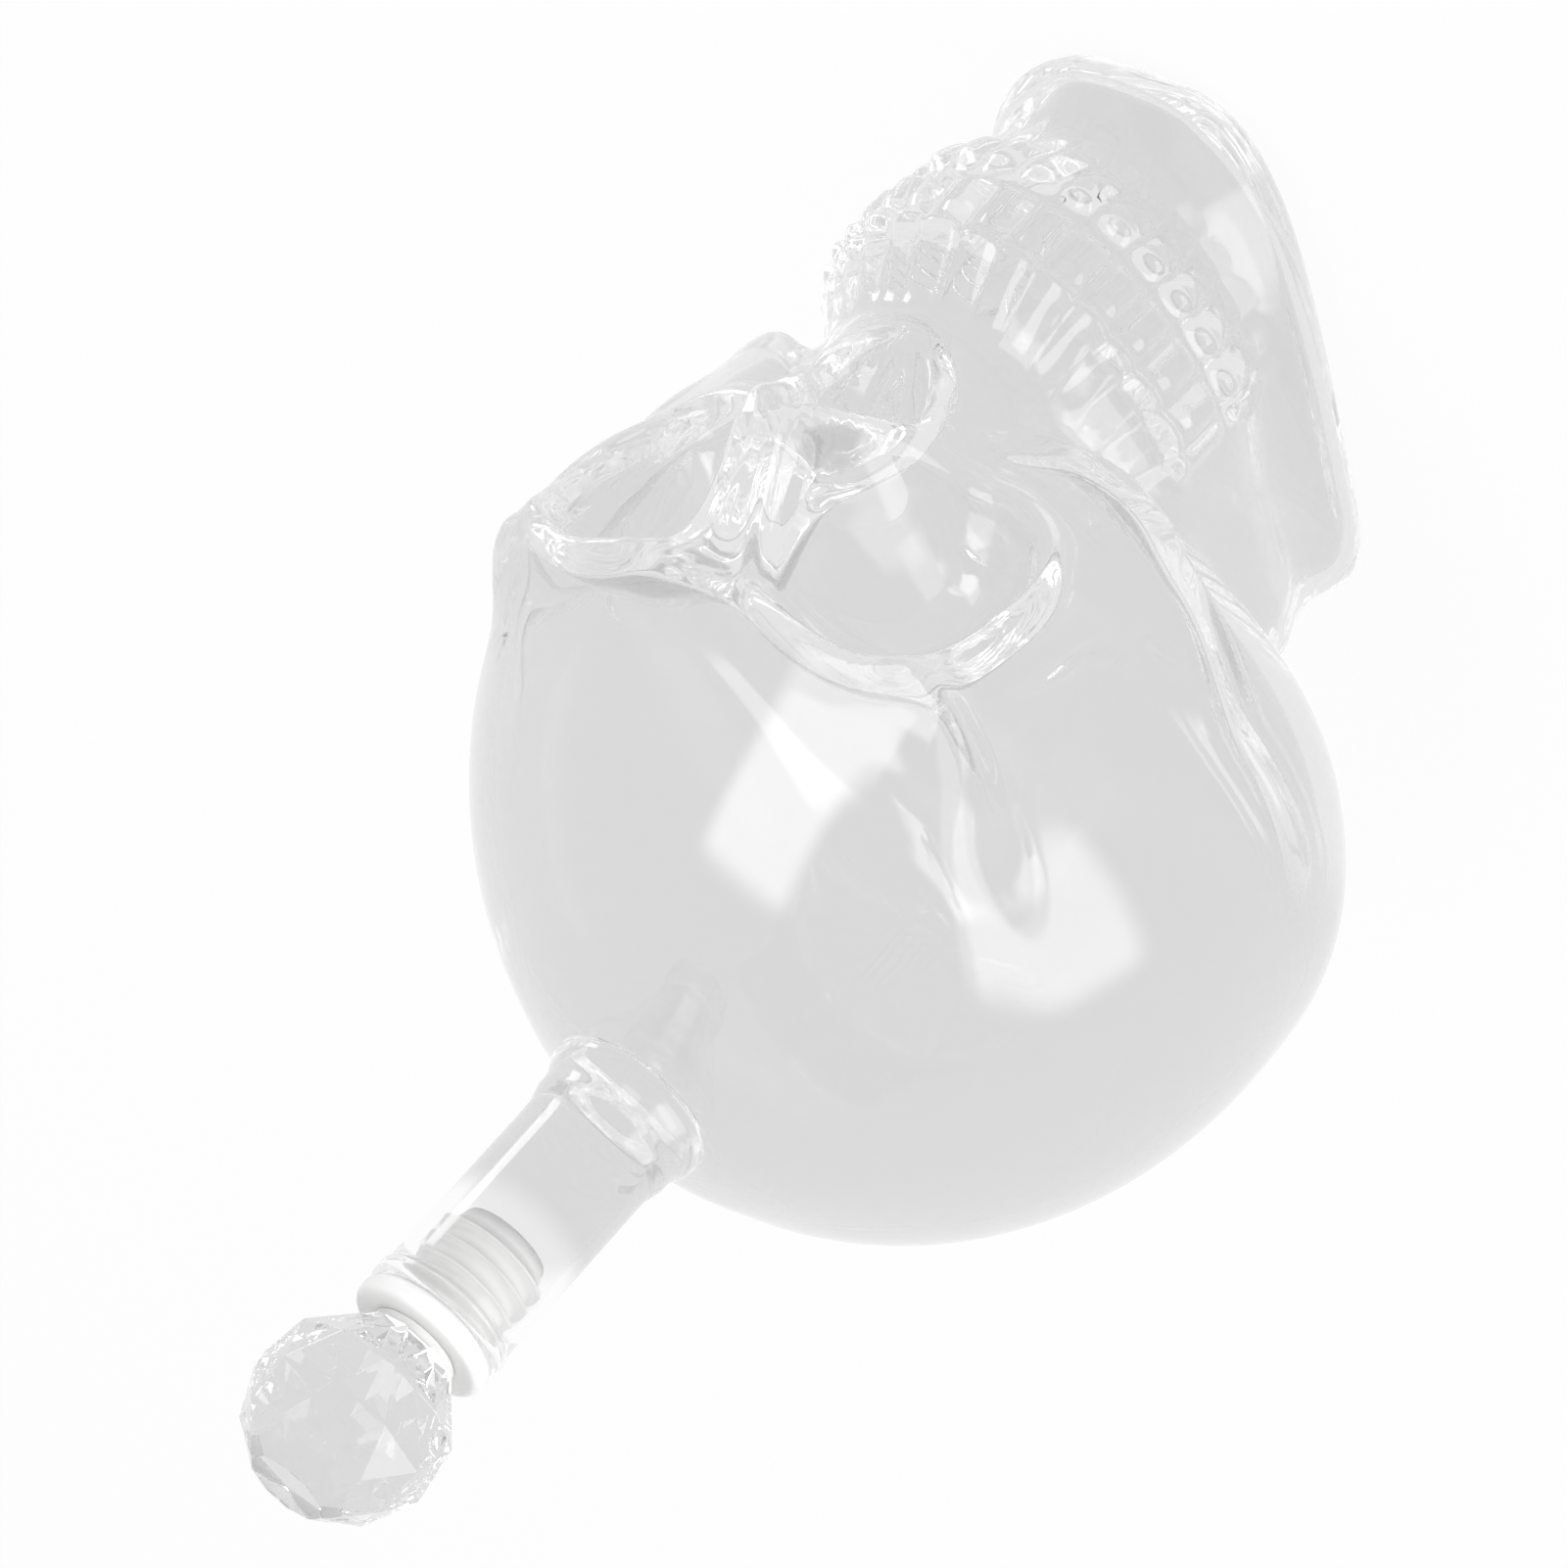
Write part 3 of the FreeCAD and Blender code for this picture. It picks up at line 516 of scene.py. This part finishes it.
# Turns of the points on a half ring: some to each tooth, close steps on the side, wider ones behind
def half_turns():
    edges = np.concatenate(([0.0], np.cumsum(TOOTH_WIDTHS)))
    lengths = np.concatenate([np.linspace(a, b, TOOTH_STEPS, endpoint=False)
                              for a, b in zip(edges, edges[1:])])
    front = np.interp(lengths, ARCH, ARCH_TURNS)
    last = np.interp(ROW_LENGTH, ARCH, ARCH_TURNS)
    side = math.radians(SIDE_TURN)
    middle = np.linspace(last, side, SIDE_STEPS, endpoint=False)
    return np.concatenate((front, middle, np.linspace(side, math.pi, BACK_STEPS + 1)))


# Heights of the rings: close together where the form turns quickly
def heights(bottom, top, counts):
    low = bottom + BASE_EDGE
    edge = counts[0]
    rings = [low - BASE_EDGE * math.cos(math.pi / 2 * i / edge) for i in range(edge)]
    levels = (LOWER_GUM - LOWER_ROOT_LENGTH / 2, LOWER_GUM, BITE, UPPER_GUM, CUT_HIGH, DOME_Z)
    for high, steps in zip(levels, counts[1:]):
        rings += [low + (high - low) * i / steps for i in range(steps)]
        low = high
    dome, collar = counts[-2:]
    rings += [low + (top - low) * math.sin(math.pi / 2 * i / dome) for i in range(dome)]
    return np.array(rings + [top + (WELD_Z - top) * i / collar for i in range(collar + 1)])


# Each point moves towards its neighbours, so that edges grow soft
def softened(rings, rounds):
    for _ in range(rounds):
        rings = (np.roll(rings, 1, axis=1) + 2 * rings + np.roll(rings, -1, axis=1)) / 4
        rings[1:-1] = (rings[:-2] + 2 * rings[1:-1] + rings[2:]) / 4
    return rings


# The fold between the jaw's back and the cranium is rounded off
def fold_rounded(rings):
    y, z = rings[:, :, 1:2], rings[:, :, 2:]
    share = blend(FOLD_START_Y, FOLD_FULL_Y, y) * blend(FOLD_LOW, FOLD_LOW + FOLD_SOFT, z)
    share = share * (1 - blend(FOLD_HIGH - FOLD_SOFT, FOLD_HIGH, z))
    return rings + (softened(rings, FOLD_ROUNDS) - rings) * share


# Whole rings of a skull surface, the second half mirrored from the first
def skull_rings(inset, bottom, tube_radius, counts, fine):
    turn, z = np.meshgrid(half_turns(), heights(bottom, BALL_Z + BALL_UP - inset, counts))
    half = skull_points(turn, z, inset, bottom, tube_radius, fine)
    half[:, (0, -1), 0] = 0.0
    other = half[:, -2:0:-1] * np.array((-1.0, 1.0, 1.0))
    return fold_rounded(np.concatenate((half, other), axis=1))


# Turns of all the points on a whole ring
def ring_turns():
    half = half_turns()
    return np.concatenate((half, -half[-2:0:-1]))


# Round rings about the Z axis from points (radius, height)
def round_rings(points, turn):
    return np.array([np.stack((r * np.sin(turn), -r * np.cos(turn), np.full_like(turn, z)), axis=-1)
                     for r, z in points])


# Points (radius, height) of an arc and of a straight stretch without its start
def arc(centre_r, centre_z, radius, start, end):
    angles = np.radians(np.linspace(start, end, ROUND_STEPS + 1))
    return [(centre_r + radius * math.cos(a), centre_z + radius * math.sin(a)) for a in angles]


def line(start, end, steps):
    way = np.array(end) - np.array(start)
    return [tuple(np.array(start) + way * i / steps) for i in range(1, steps + 1)]


# A closed mesh over rings of equal count, with a fan to the middle of the first and the last ring
def ring_mesh(name, rings):
    count = rings.shape[1]
    points = rings.reshape(-1, 3)
    ends = np.array((rings[0].mean(axis=0), rings[-1].mean(axis=0)))
    points = np.concatenate((points, ends)) * MM
    faces = []
    for k in range(len(rings) - 1):
        for i in range(count):
            j = (i + 1) % count
            faces.append((k * count + i, k * count + j, (k + 1) * count + j, (k + 1) * count + i))
    first = len(points) - 2
    top = (len(rings) - 1) * count
    for i in range(count):
        j = (i + 1) % count
        faces.append((first, j, i))
        faces.append((first + 1, top + i, top + j))
    mesh = bpy.data.meshes.new(name)
    mesh.from_pydata([tuple(p) for p in points], [], faces)
    mesh.polygons.foreach_set("use_smooth", [True] * len(mesh.polygons))
    mesh.update()
    piece = bpy.data.objects.new(name, mesh)
    bpy.context.scene.collection.objects.link(piece)
    return piece


# The inside of the wall follows a softened outside at one thickness, and meets the bore at the crown
def inside_rings():
    soft = skull_rings(0, FLOOR - WALL, WELD_RADIUS, OUTSIDE_RINGS, INSIDE_FINE_SHARE)
    bore = skull_rings(WALL, FLOOR, BORE_RADIUS, OUTSIDE_RINGS, INSIDE_FINE_SHARE)
    y, z = soft[:, :, 1:2], soft[:, :, 2:]
    plain = 1 - blend(UPPER_GUM + UPPER_ROOT_LENGTH, CHEEK_HOLD_Z, z)
    plain = np.maximum(plain, blend(CUT_HIGH, DOME_Z, z))
    plain = np.maximum(plain, blend(PLAIN_START_Y, PLAIN_FULL_Y, y))
    soft = softened(soft, SOFTENING_ROUNDS)
    around = np.roll(soft, -1, axis=1) - np.roll(soft, 1, axis=1)
    normal = np.cross(around, np.gradient(soft, axis=0))
    normal = normal / np.linalg.norm(normal, axis=2, keepdims=True)
    offset = softened(soft - normal * WALL, SMOOTHING_ROUNDS)
    return offset + (bore - offset) * plain


# Skull and neck as one closed glass wall: up the outside, over the lip, down the inside
def vessel():
    outside = skull_rings(0, 0, WELD_RADIUS, OUTSIDE_RINGS, 1.0)
    inside = inside_rings()
    low = LIP_TOP - LIP_HEIGHT
    rim = LIP_RADIUS - LIP_ROUND
    profile = line((WELD_RADIUS, WELD_Z), (NECK_RADIUS, WELD_Z + WELD_FLARE), FLARE_STEPS)
    profile += line((NECK_RADIUS, WELD_Z + WELD_FLARE), (NECK_RADIUS, low), NECK_STEPS)
    profile += arc(rim, low + LIP_ROUND, LIP_ROUND, LIP_START_ANGLE, 0)
    profile += arc(rim, LIP_TOP - LIP_ROUND, LIP_ROUND, 0, 90)
    profile += arc(BORE_RADIUS + LIP_ROUND, LIP_TOP - LIP_ROUND, LIP_ROUND, 90, 180)
    neck = round_rings(profile, ring_turns())
    bore_line = line((BORE_RADIUS, LIP_TOP - LIP_ROUND), (BORE_RADIUS, WELD_Z), BORE_STEPS)
    bore = round_rings(bore_line[:-1], ring_turns())

    def caps(ring):
        middle = ring.mean(axis=0)
        return np.array([middle + (ring - middle) * share for share in CAP_SHARES])

    base = caps(outside[0])
    floor = caps(inside[0])[::-1]
    piece = ring_mesh("skull_vessel", np.concatenate((base, outside, neck, bore, inside[::-1], floor)))
    count = outside.shape[1]
    sides = np.zeros(len(piece.data.polygons), dtype=np.int32)
    sides[(len(base) + len(outside) + len(neck)) * count:] = 1
    sides[-2 * count::2] = 0
    piece.data.polygons.foreach_set("material_index", sides)
    return piece


# The plug: socket, flange, fins, then the hollow underside
def plug():
    top = LIP_TOP + FLANGE_THICK
    under = LIP_TOP + REST_GAP
    bottom = LIP_TOP - PLUG_LENGTH
    fin_radius = BORE_RADIUS - FIT_GAP
    rim = FLANGE_RADIUS - FLANGE_ROUND
    profile = [(SOCKET_RADIUS * share, top - SOCKET_DEPTH) for share in (*DISC_SHARES, 1)]
    profile += line((SOCKET_RADIUS, top - SOCKET_DEPTH), (SOCKET_RADIUS, top), SOCKET_STEPS)
    profile += arc(rim, top - FLANGE_ROUND, FLANGE_ROUND, 90, 0)
    profile += arc(rim, under + FLANGE_ROUND, FLANGE_ROUND, 0, -90)
    profile += [(PLUG_RADIUS, under)]
    tip = FIN_THICK / 2
    for i in range(FIN_COUNT):
        z = LIP_TOP - FIN_FIRST - FIN_PITCH * i - tip
        profile += [(PLUG_RADIUS, z + tip)]
        profile += arc(fin_radius - tip / 2, z, tip / 2, 90, -90)
        profile += [(PLUG_RADIUS, z - tip)]
    profile += [(PLUG_RADIUS, bottom + PLUG_END_LENGTH), (PLUG_END_RADIUS, bottom)]
    hollow = PLUG_END_RADIUS - PLUG_WALL
    web = top - SOCKET_DEPTH - SOCKET_WEB
    profile += [(hollow, bottom)] + line((hollow, bottom), (hollow, web), SOCKET_STEPS)
    profile += [(hollow * share, web) for share in reversed(DISC_SHARES)]
    turn = np.linspace(0.0, 2 * math.pi, CIRCLE_STEPS, endpoint=False)
    return ring_mesh("finned_plug", round_rings(profile, turn)[::-1])


# The ball's corners lie on rings, each ring turned by half a step from the one below.
# Below the lowest ring a round seat with a white underside closes the glass, and the white peg follows.
def cut_ball():
    seat = LIP_TOP + FLANGE_THICK
    low = KNOB_RADIUS * math.sin(math.radians(KNOB_RING_ANGLES[0]))
    points = []
    rings = []
    for k, angle in enumerate(KNOB_RING_ANGLES):
        r = KNOB_RADIUS * math.cos(math.radians(angle))
        z = KNOB_RADIUS * math.sin(math.radians(angle)) - low + seat + SEAT_HEIGHT
        turns = [2 * math.pi * (i + k / 2) / KNOB_SIDES for i in range(KNOB_SIDES)]
        rings.append(range(len(points), len(points) + KNOB_SIDES))
        points += [(r * math.cos(a), r * math.sin(a), z) for a in turns]
    faces = [tuple(rings[-1])]
    for lower, upper in zip(rings, rings[1:]):
        for i in range(KNOB_SIDES):
            j = (i + 1) % KNOB_SIDES
            faces += [(lower[i], lower[j], upper[i]), (lower[j], upper[j], upper[i])]
    per_side = CIRCLE_STEPS // KNOB_SIDES
    count = per_side * KNOB_SIDES
    foot = ((SEAT_RADIUS, seat + SEAT_HEIGHT), (SEAT_RADIUS, seat + REST_GAP),
            (PEG_RADIUS, seat), (PEG_RADIUS, seat - PEG_LENGTH))
    circles = []
    for r, z in foot:
        circles.append(range(len(points), len(points) + count))
        turns = [2 * math.pi * i / count for i in range(count)]
        points += [(r * math.cos(a), r * math.sin(a), z) for a in turns]
    for i in range(KNOB_SIDES):
        j = (i + 1) % KNOB_SIDES
        near = [circles[0][(i * per_side + s) % count] for s in range(per_side + 1)]
        faces.append((rings[0][j], rings[0][i], *near))
    facets = len(faces)
    for upper, lower in (circles[:2], circles[2:]):
        for i in range(count):
            j = (i + 1) % count
            faces.append((upper[j], upper[i], lower[i], lower[j]))
    faces += [tuple(reversed(circles[1])), tuple(circles[2]), tuple(reversed(circles[3]))]
    mesh = bpy.data.meshes.new("cut_ball")
    mesh.from_pydata([tuple(c * MM for c in p) for p in points], [], faces)
    mesh.polygons.foreach_set("material_index", [int(i >= facets) for i in range(len(faces))])
    mesh.update()
    piece = bpy.data.objects.new("cut_ball", mesh)
    bpy.context.scene.collection.objects.link(piece)
    return piece


# A new material with its nodes, links and shader
def material(name):
    made = bpy.data.materials.new(name)
    made.use_nodes = True
    return made, made.node_tree.nodes, made.node_tree.links, made.node_tree.nodes["Principled BSDF"]


# Greys of the glass, on the face and on the plain cranium, outside and inside the wall
OUTSIDE_COLORS = ((0.8, 0.8, 0.8, 1.0), (0.7, 0.7, 0.7, 1.0))
INSIDE_COLORS = ((0.87, 0.87, 0.87, 1.0), (0.99, 0.99, 0.99, 1.0))
PLAIN_SLOPE = 0.6
PLAIN_LOW = 62.0
PLAIN_HIGH = 78.0
CLEAR_COLOR = (0.99, 0.99, 0.99, 1.0)
CLEAR_SPAN = 6.0
GLASS_IOR = 1.48
CUT_COLOR = (0.68, 0.68, 0.68, 1.0)
CUT_LIGHT_COLOR = (0.72, 0.72, 0.72, 1.0)
CUT_CLOUD_SCALE = 60.0
CUT_IOR = 1.5
WAVE_SCALE = 14.0
WAVE_DETAIL = 1.5
WAVE_STRENGTH = 0.02
WAVE_DEPTH = 0.0004

# The soft white
PLUG_COLOR = (0.99, 0.99, 0.985, 1.0)
PLUG_IOR = 1.45
GRAIN_SCALE = 900.0
GRAIN_DETAIL = 2.0
GRAIN_ROUGHNESS = (0.28, 0.45)


# Clear glass with faint waves left by the blowing
def glass(name, ior):
    made, nodes, links, shader = material(name)
    shader.inputs["Roughness"].default_value = 0.0
    shader.inputs["IOR"].default_value = ior
    shader.inputs["Transmission Weight"].default_value = 1.0
    place = nodes.new("ShaderNodeTexCoord")
    noise = nodes.new("ShaderNodeTexNoise")
    noise.inputs["Scale"].default_value = WAVE_SCALE
    noise.inputs["Detail"].default_value = WAVE_DETAIL
    bump = nodes.new("ShaderNodeBump")
    bump.inputs["Strength"].default_value = WAVE_STRENGTH
    bump.inputs["Distance"].default_value = WAVE_DEPTH
    links.new(place.outputs["Object"], noise.inputs["Vector"])
    links.new(noise.outputs["Fac"], bump.inputs["Height"])
    links.new(bump.outputs["Normal"], shader.inputs["Normal"])
    return made, place.outputs["Object"]


# Two colours, or painted sockets, mixed by a factor
def mixed(made, color, other, factor):
    nodes, links = made.node_tree.nodes, made.node_tree.links
    paint = nodes.new("ShaderNodeMix")
    paint.data_type = "RGBA"
    for end, value in zip("AB", (color, other)):
        if isinstance(value, tuple):
            paint.inputs[end].default_value = value
        else:
            links.new(value, paint.inputs[end])
    links.new(factor, paint.inputs["Factor"])
    return paint.outputs["Result"]


# The material with its colour from a socket
def painted(made, paint):
    made.node_tree.links.new(paint, made.node_tree.nodes["Principled BSDF"].inputs["Base Color"])
    return made


# 0 below the low place and 1 above the high one, with a soft step between
def eased(made, value, low, high):
    ease = made.node_tree.nodes.new("ShaderNodeMapRange")
    ease.interpolation_type = "SMOOTHSTEP"
    ease.inputs["From Min"].default_value = low * MM
    ease.inputs["From Max"].default_value = high * MM
    made.node_tree.links.new(value, ease.inputs["Value"])
    return ease.outputs["Result"]


# Blown glass: one grey on the face, one on the plain cranium over a sloping line, clearer up the neck
def blown_glass(name, face_color, plain_color):
    made, place = glass(name, GLASS_IOR)
    nodes, links = made.node_tree.nodes, made.node_tree.links
    parts = nodes.new("ShaderNodeSeparateXYZ")
    links.new(place, parts.inputs["Vector"])
    height = nodes.new("ShaderNodeMath")
    height.operation = "MULTIPLY_ADD"
    height.inputs[1].default_value = PLAIN_SLOPE
    links.new(parts.outputs["Y"], height.inputs[0])
    links.new(parts.outputs["Z"], height.inputs[2])
    plain = eased(made, height.outputs["Value"], PLAIN_LOW, PLAIN_HIGH)
    end = LIP_TOP - PLUG_LENGTH
    clear = eased(made, parts.outputs["Z"], end - CLEAR_SPAN, end)
    return painted(made, mixed(made, mixed(made, face_color, plain_color, plain), CLEAR_COLOR, clear))


# Cut glass, a little uneven in its grey
def faceted_glass(name):
    made, place = glass(name, CUT_IOR)
    nodes, links = made.node_tree.nodes, made.node_tree.links
    cloud = nodes.new("ShaderNodeTexNoise")
    cloud.inputs["Scale"].default_value = CUT_CLOUD_SCALE
    links.new(place, cloud.inputs["Vector"])
    return painted(made, mixed(made, CUT_COLOR, CUT_LIGHT_COLOR, cloud.outputs["Fac"]))


# White and half dull: the soft moulding, and the ground foot of the ball
def soft_white(name):
    made, nodes, links, shader = material(name)
    shader.inputs["Base Color"].default_value = PLUG_COLOR
    shader.inputs["IOR"].default_value = PLUG_IOR
    place = nodes.new("ShaderNodeTexCoord")
    noise = nodes.new("ShaderNodeTexNoise")
    noise.inputs["Scale"].default_value = GRAIN_SCALE
    noise.inputs["Detail"].default_value = GRAIN_DETAIL
    gloss = nodes.new("ShaderNodeMapRange")
    gloss.inputs["To Min"].default_value = GRAIN_ROUGHNESS[0]
    gloss.inputs["To Max"].default_value = GRAIN_ROUGHNESS[1]
    links.new(place.outputs["Object"], noise.inputs["Vector"])
    links.new(noise.outputs["Fac"], gloss.inputs["Value"])
    links.new(gloss.outputs["Result"], shader.inputs["Roughness"])
    return made


clear_glass = blown_glass("clear_glass", *OUTSIDE_COLORS)
grey_glass = blown_glass("grey_glass", *INSIDE_COLORS)
cut_glass = faceted_glass("cut_glass")
white_plug = soft_white("white_plug")
ground_foot = soft_white("ground_foot")

vessel_piece = vessel()
vessel_piece.data.materials.append(clear_glass)
vessel_piece.data.materials.append(grey_glass)
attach(vessel_piece, "vessel")
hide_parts("skull_body", "neck_tube")

plug_piece = plug()
plug_piece.data.materials.append(white_plug)
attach(plug_piece, "stopper")
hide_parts("stopper_plug")

ball_piece = cut_ball()
ball_piece.data.materials.append(cut_glass)
ball_piece.data.materials.append(ground_foot)
bevel = ball_piece.modifiers.new("bevel", "BEVEL")
bevel.width = KNOB_BEVEL * MM
bevel.segments = 1
bevel.limit_method = "ANGLE"
bevel.angle_limit = math.radians(KNOB_BEVEL_ANGLE)
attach(ball_piece, "stopper")
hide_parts("stopper_ball")


# White for the camera and for what glass mirrors and lets through
def white_for_view(nodes, links):
    path = nodes.new("ShaderNodeLightPath")
    seen = path.outputs["Is Camera Ray"]
    for kind in ("Is Glossy Ray", "Is Transmission Ray"):
        either = nodes.new("ShaderNodeMath")
        either.operation = "MAXIMUM"
        links.new(seen, either.inputs[0])
        links.new(path.outputs[kind], either.inputs[1])
        seen = either.outputs["Value"]
    return seen


# Pale floor in metres, seen as nearly white, which keeps the object's shadow
FLOOR_SIZE = 8.0
FLOOR_COLOR = (0.9, 0.9, 0.9, 1.0)
FLOOR_ROUGHNESS = 0.8
FLOOR_WHITE_SHARE = 0.95

floor_mesh = bpy.data.meshes.new("floor")
half = FLOOR_SIZE / 2
corners = [(-half, -half, 0), (half, -half, 0), (half, half, 0), (-half, half, 0)]
floor_mesh.from_pydata(corners, [], [(0, 1, 2, 3)])
floor = bpy.data.objects.new("floor", floor_mesh)
bpy.context.scene.collection.objects.link(floor)
floor.location.z = -FIT_GAP * MM
floor_paint, nodes, links, shader = material("floor_paint")
shader.inputs["Base Color"].default_value = FLOOR_COLOR
shader.inputs["Roughness"].default_value = FLOOR_ROUGHNESS
glow = nodes.new("ShaderNodeEmission")
glow.inputs["Strength"].default_value = 1.0
mix = nodes.new("ShaderNodeMixShader")
seen = white_for_view(nodes, links)
share = nodes.new("ShaderNodeMath")
share.operation = "MULTIPLY"
share.inputs[1].default_value = FLOOR_WHITE_SHARE
links.new(seen, share.inputs[0])
links.new(share.outputs["Value"], mix.inputs["Fac"])
links.new(shader.outputs["BSDF"], mix.inputs[1])
links.new(glow.outputs["Emission"], mix.inputs[2])
links.new(mix.outputs["Shader"], nodes["Material Output"].inputs["Surface"])
floor_mesh.materials.append(floor_paint)

# White surroundings, a little dimmer as light than as a view
WORLD_LIGHT = 0.6
world = bpy.data.worlds.new("studio")
bpy.context.scene.world = world
world.use_nodes = True
nodes, links = world.node_tree.nodes, world.node_tree.links
level = nodes.new("ShaderNodeMapRange")
level.inputs["To Min"].default_value = WORLD_LIGHT
level.inputs["To Max"].default_value = 1.0
links.new(white_for_view(nodes, links), level.inputs["Value"])
links.new(level.outputs["Result"], nodes["Background"].inputs["Strength"])
nodes["Background"].inputs["Color"].default_value = (1.0, 1.0, 1.0, 1.0)


# Soft boxes that dim towards their edges, aimed at the middle of the cranium.
# Each has an azimuth from the front and an elevation in degrees, a distance, a width, a height and a power.
TOP_BOX = (-25.0, 58.0, 1.3, 0.75, 1.1, 9.0)
SIDE_BOX = (-90.0, 14.0, 1.3, 1.4, 0.85, 10.0)
RIGHT_CARD = (54.0, -4.0, 0.27, 0.1, 0.1, 0.15)
BOX_FADE_SHARE = 0.2


def soft_box(name, azimuth, elevation, distance, width, height, power):
    a, e = math.radians(azimuth), math.radians(elevation)
    lamp = bpy.data.lights.new(name, "AREA")
    lamp.shape = "RECTANGLE"
    lamp.size = width
    lamp.size_y = height
    lamp.energy = power
    lamp.use_nodes = True
    nodes, links = lamp.node_tree.nodes, lamp.node_tree.links
    place = nodes.new("ShaderNodeNewGeometry")
    parts = nodes.new("ShaderNodeSeparateXYZ")
    links.new(place.outputs["Parametric"], parts.inputs["Vector"])
    level = nodes.new("ShaderNodeMath")
    level.operation = "MULTIPLY"
    for i, axis in enumerate("XY"):
        edge = nodes.new("ShaderNodeMath")
        edge.operation = "PINGPONG"
        edge.inputs[1].default_value = 0.5
        links.new(parts.outputs[axis], edge.inputs[0])
        fade = nodes.new("ShaderNodeMapRange")
        fade.interpolation_type = "SMOOTHSTEP"
        fade.inputs["From Max"].default_value = BOX_FADE_SHARE
        links.new(edge.outputs["Value"], fade.inputs["Value"])
        links.new(fade.outputs["Result"], level.inputs[i])
    links.new(level.outputs["Value"], nodes["Emission"].inputs["Strength"])
    holder = bpy.data.objects.new(name, lamp)
    way = Vector((math.sin(a) * math.cos(e), -math.cos(a) * math.cos(e), math.sin(e)))
    middle = Vector((0, BALL_Y * MM, BALL_Z * MM))
    holder.location = middle + way * distance
    holder.rotation_euler = way.to_track_quat("Z", "Y").to_euler()
    bpy.context.scene.collection.objects.link(holder)
    return holder


soft_box("top_box", *TOP_BOX)
soft_box("side_box", *SIDE_BOX)
card = soft_box("right_card", *RIGHT_CARD)
card.visible_camera = False
card.visible_transmission = False

# Camera, rolled so that the neck points down and to the side as in the picture
PICTURE = 1601
FOCAL_PIXELS = 6437.0
CAMERA_PLACE = Vector((-498.3, -674.8, 517.0)) * MM
CAMERA_TARGET = Vector((0.0, 0.0, 106.5)) * MM
PICTURE_TURN = 138.11
AXIS_PIXEL = (839.8, 907.8)
SENSOR = 36.0

forward = (CAMERA_TARGET - CAMERA_PLACE).normalized()
level_right = forward.cross(Vector((0, 0, 1))).normalized()
level_up = level_right.cross(forward)
roll = math.radians(PICTURE_TURN)
right = level_right * math.cos(roll) - level_up * math.sin(roll)
up = level_right * math.sin(roll) + level_up * math.cos(roll)
off_x = PICTURE / 2 - AXIS_PIXEL[0]
off_y = AXIS_PIXEL[1] - PICTURE / 2
aim = (forward * FOCAL_PIXELS + right * off_x + up * off_y).normalized()
swing = forward.rotation_difference(aim)
right, up = swing @ right, swing @ up
camera_data = bpy.data.cameras.new("camera")
camera_data.sensor_width = SENSOR
camera_data.lens = FOCAL_PIXELS / PICTURE * SENSOR
camera = bpy.data.objects.new("camera", camera_data)
axes = Matrix((right, up, -aim)).transposed()
camera.matrix_world = Matrix.Translation(CAMERA_PLACE) @ axes.to_4x4()
bpy.context.scene.collection.objects.link(camera)
bpy.context.scene.camera = camera
bpy.context.scene.view_settings.view_transform = "Standard"

# Light passes many glass faces before it leaves the object
GLASS_BOUNCES = 128
cycles = bpy.context.scene.cycles
cycles.max_bounces = GLASS_BOUNCES
cycles.diffuse_bounces = GLASS_BOUNCES
cycles.glossy_bounces = GLASS_BOUNCES
cycles.transmission_bounces = GLASS_BOUNCES

# Bring the placements of all objects up to date
bpy.context.view_layer.update()
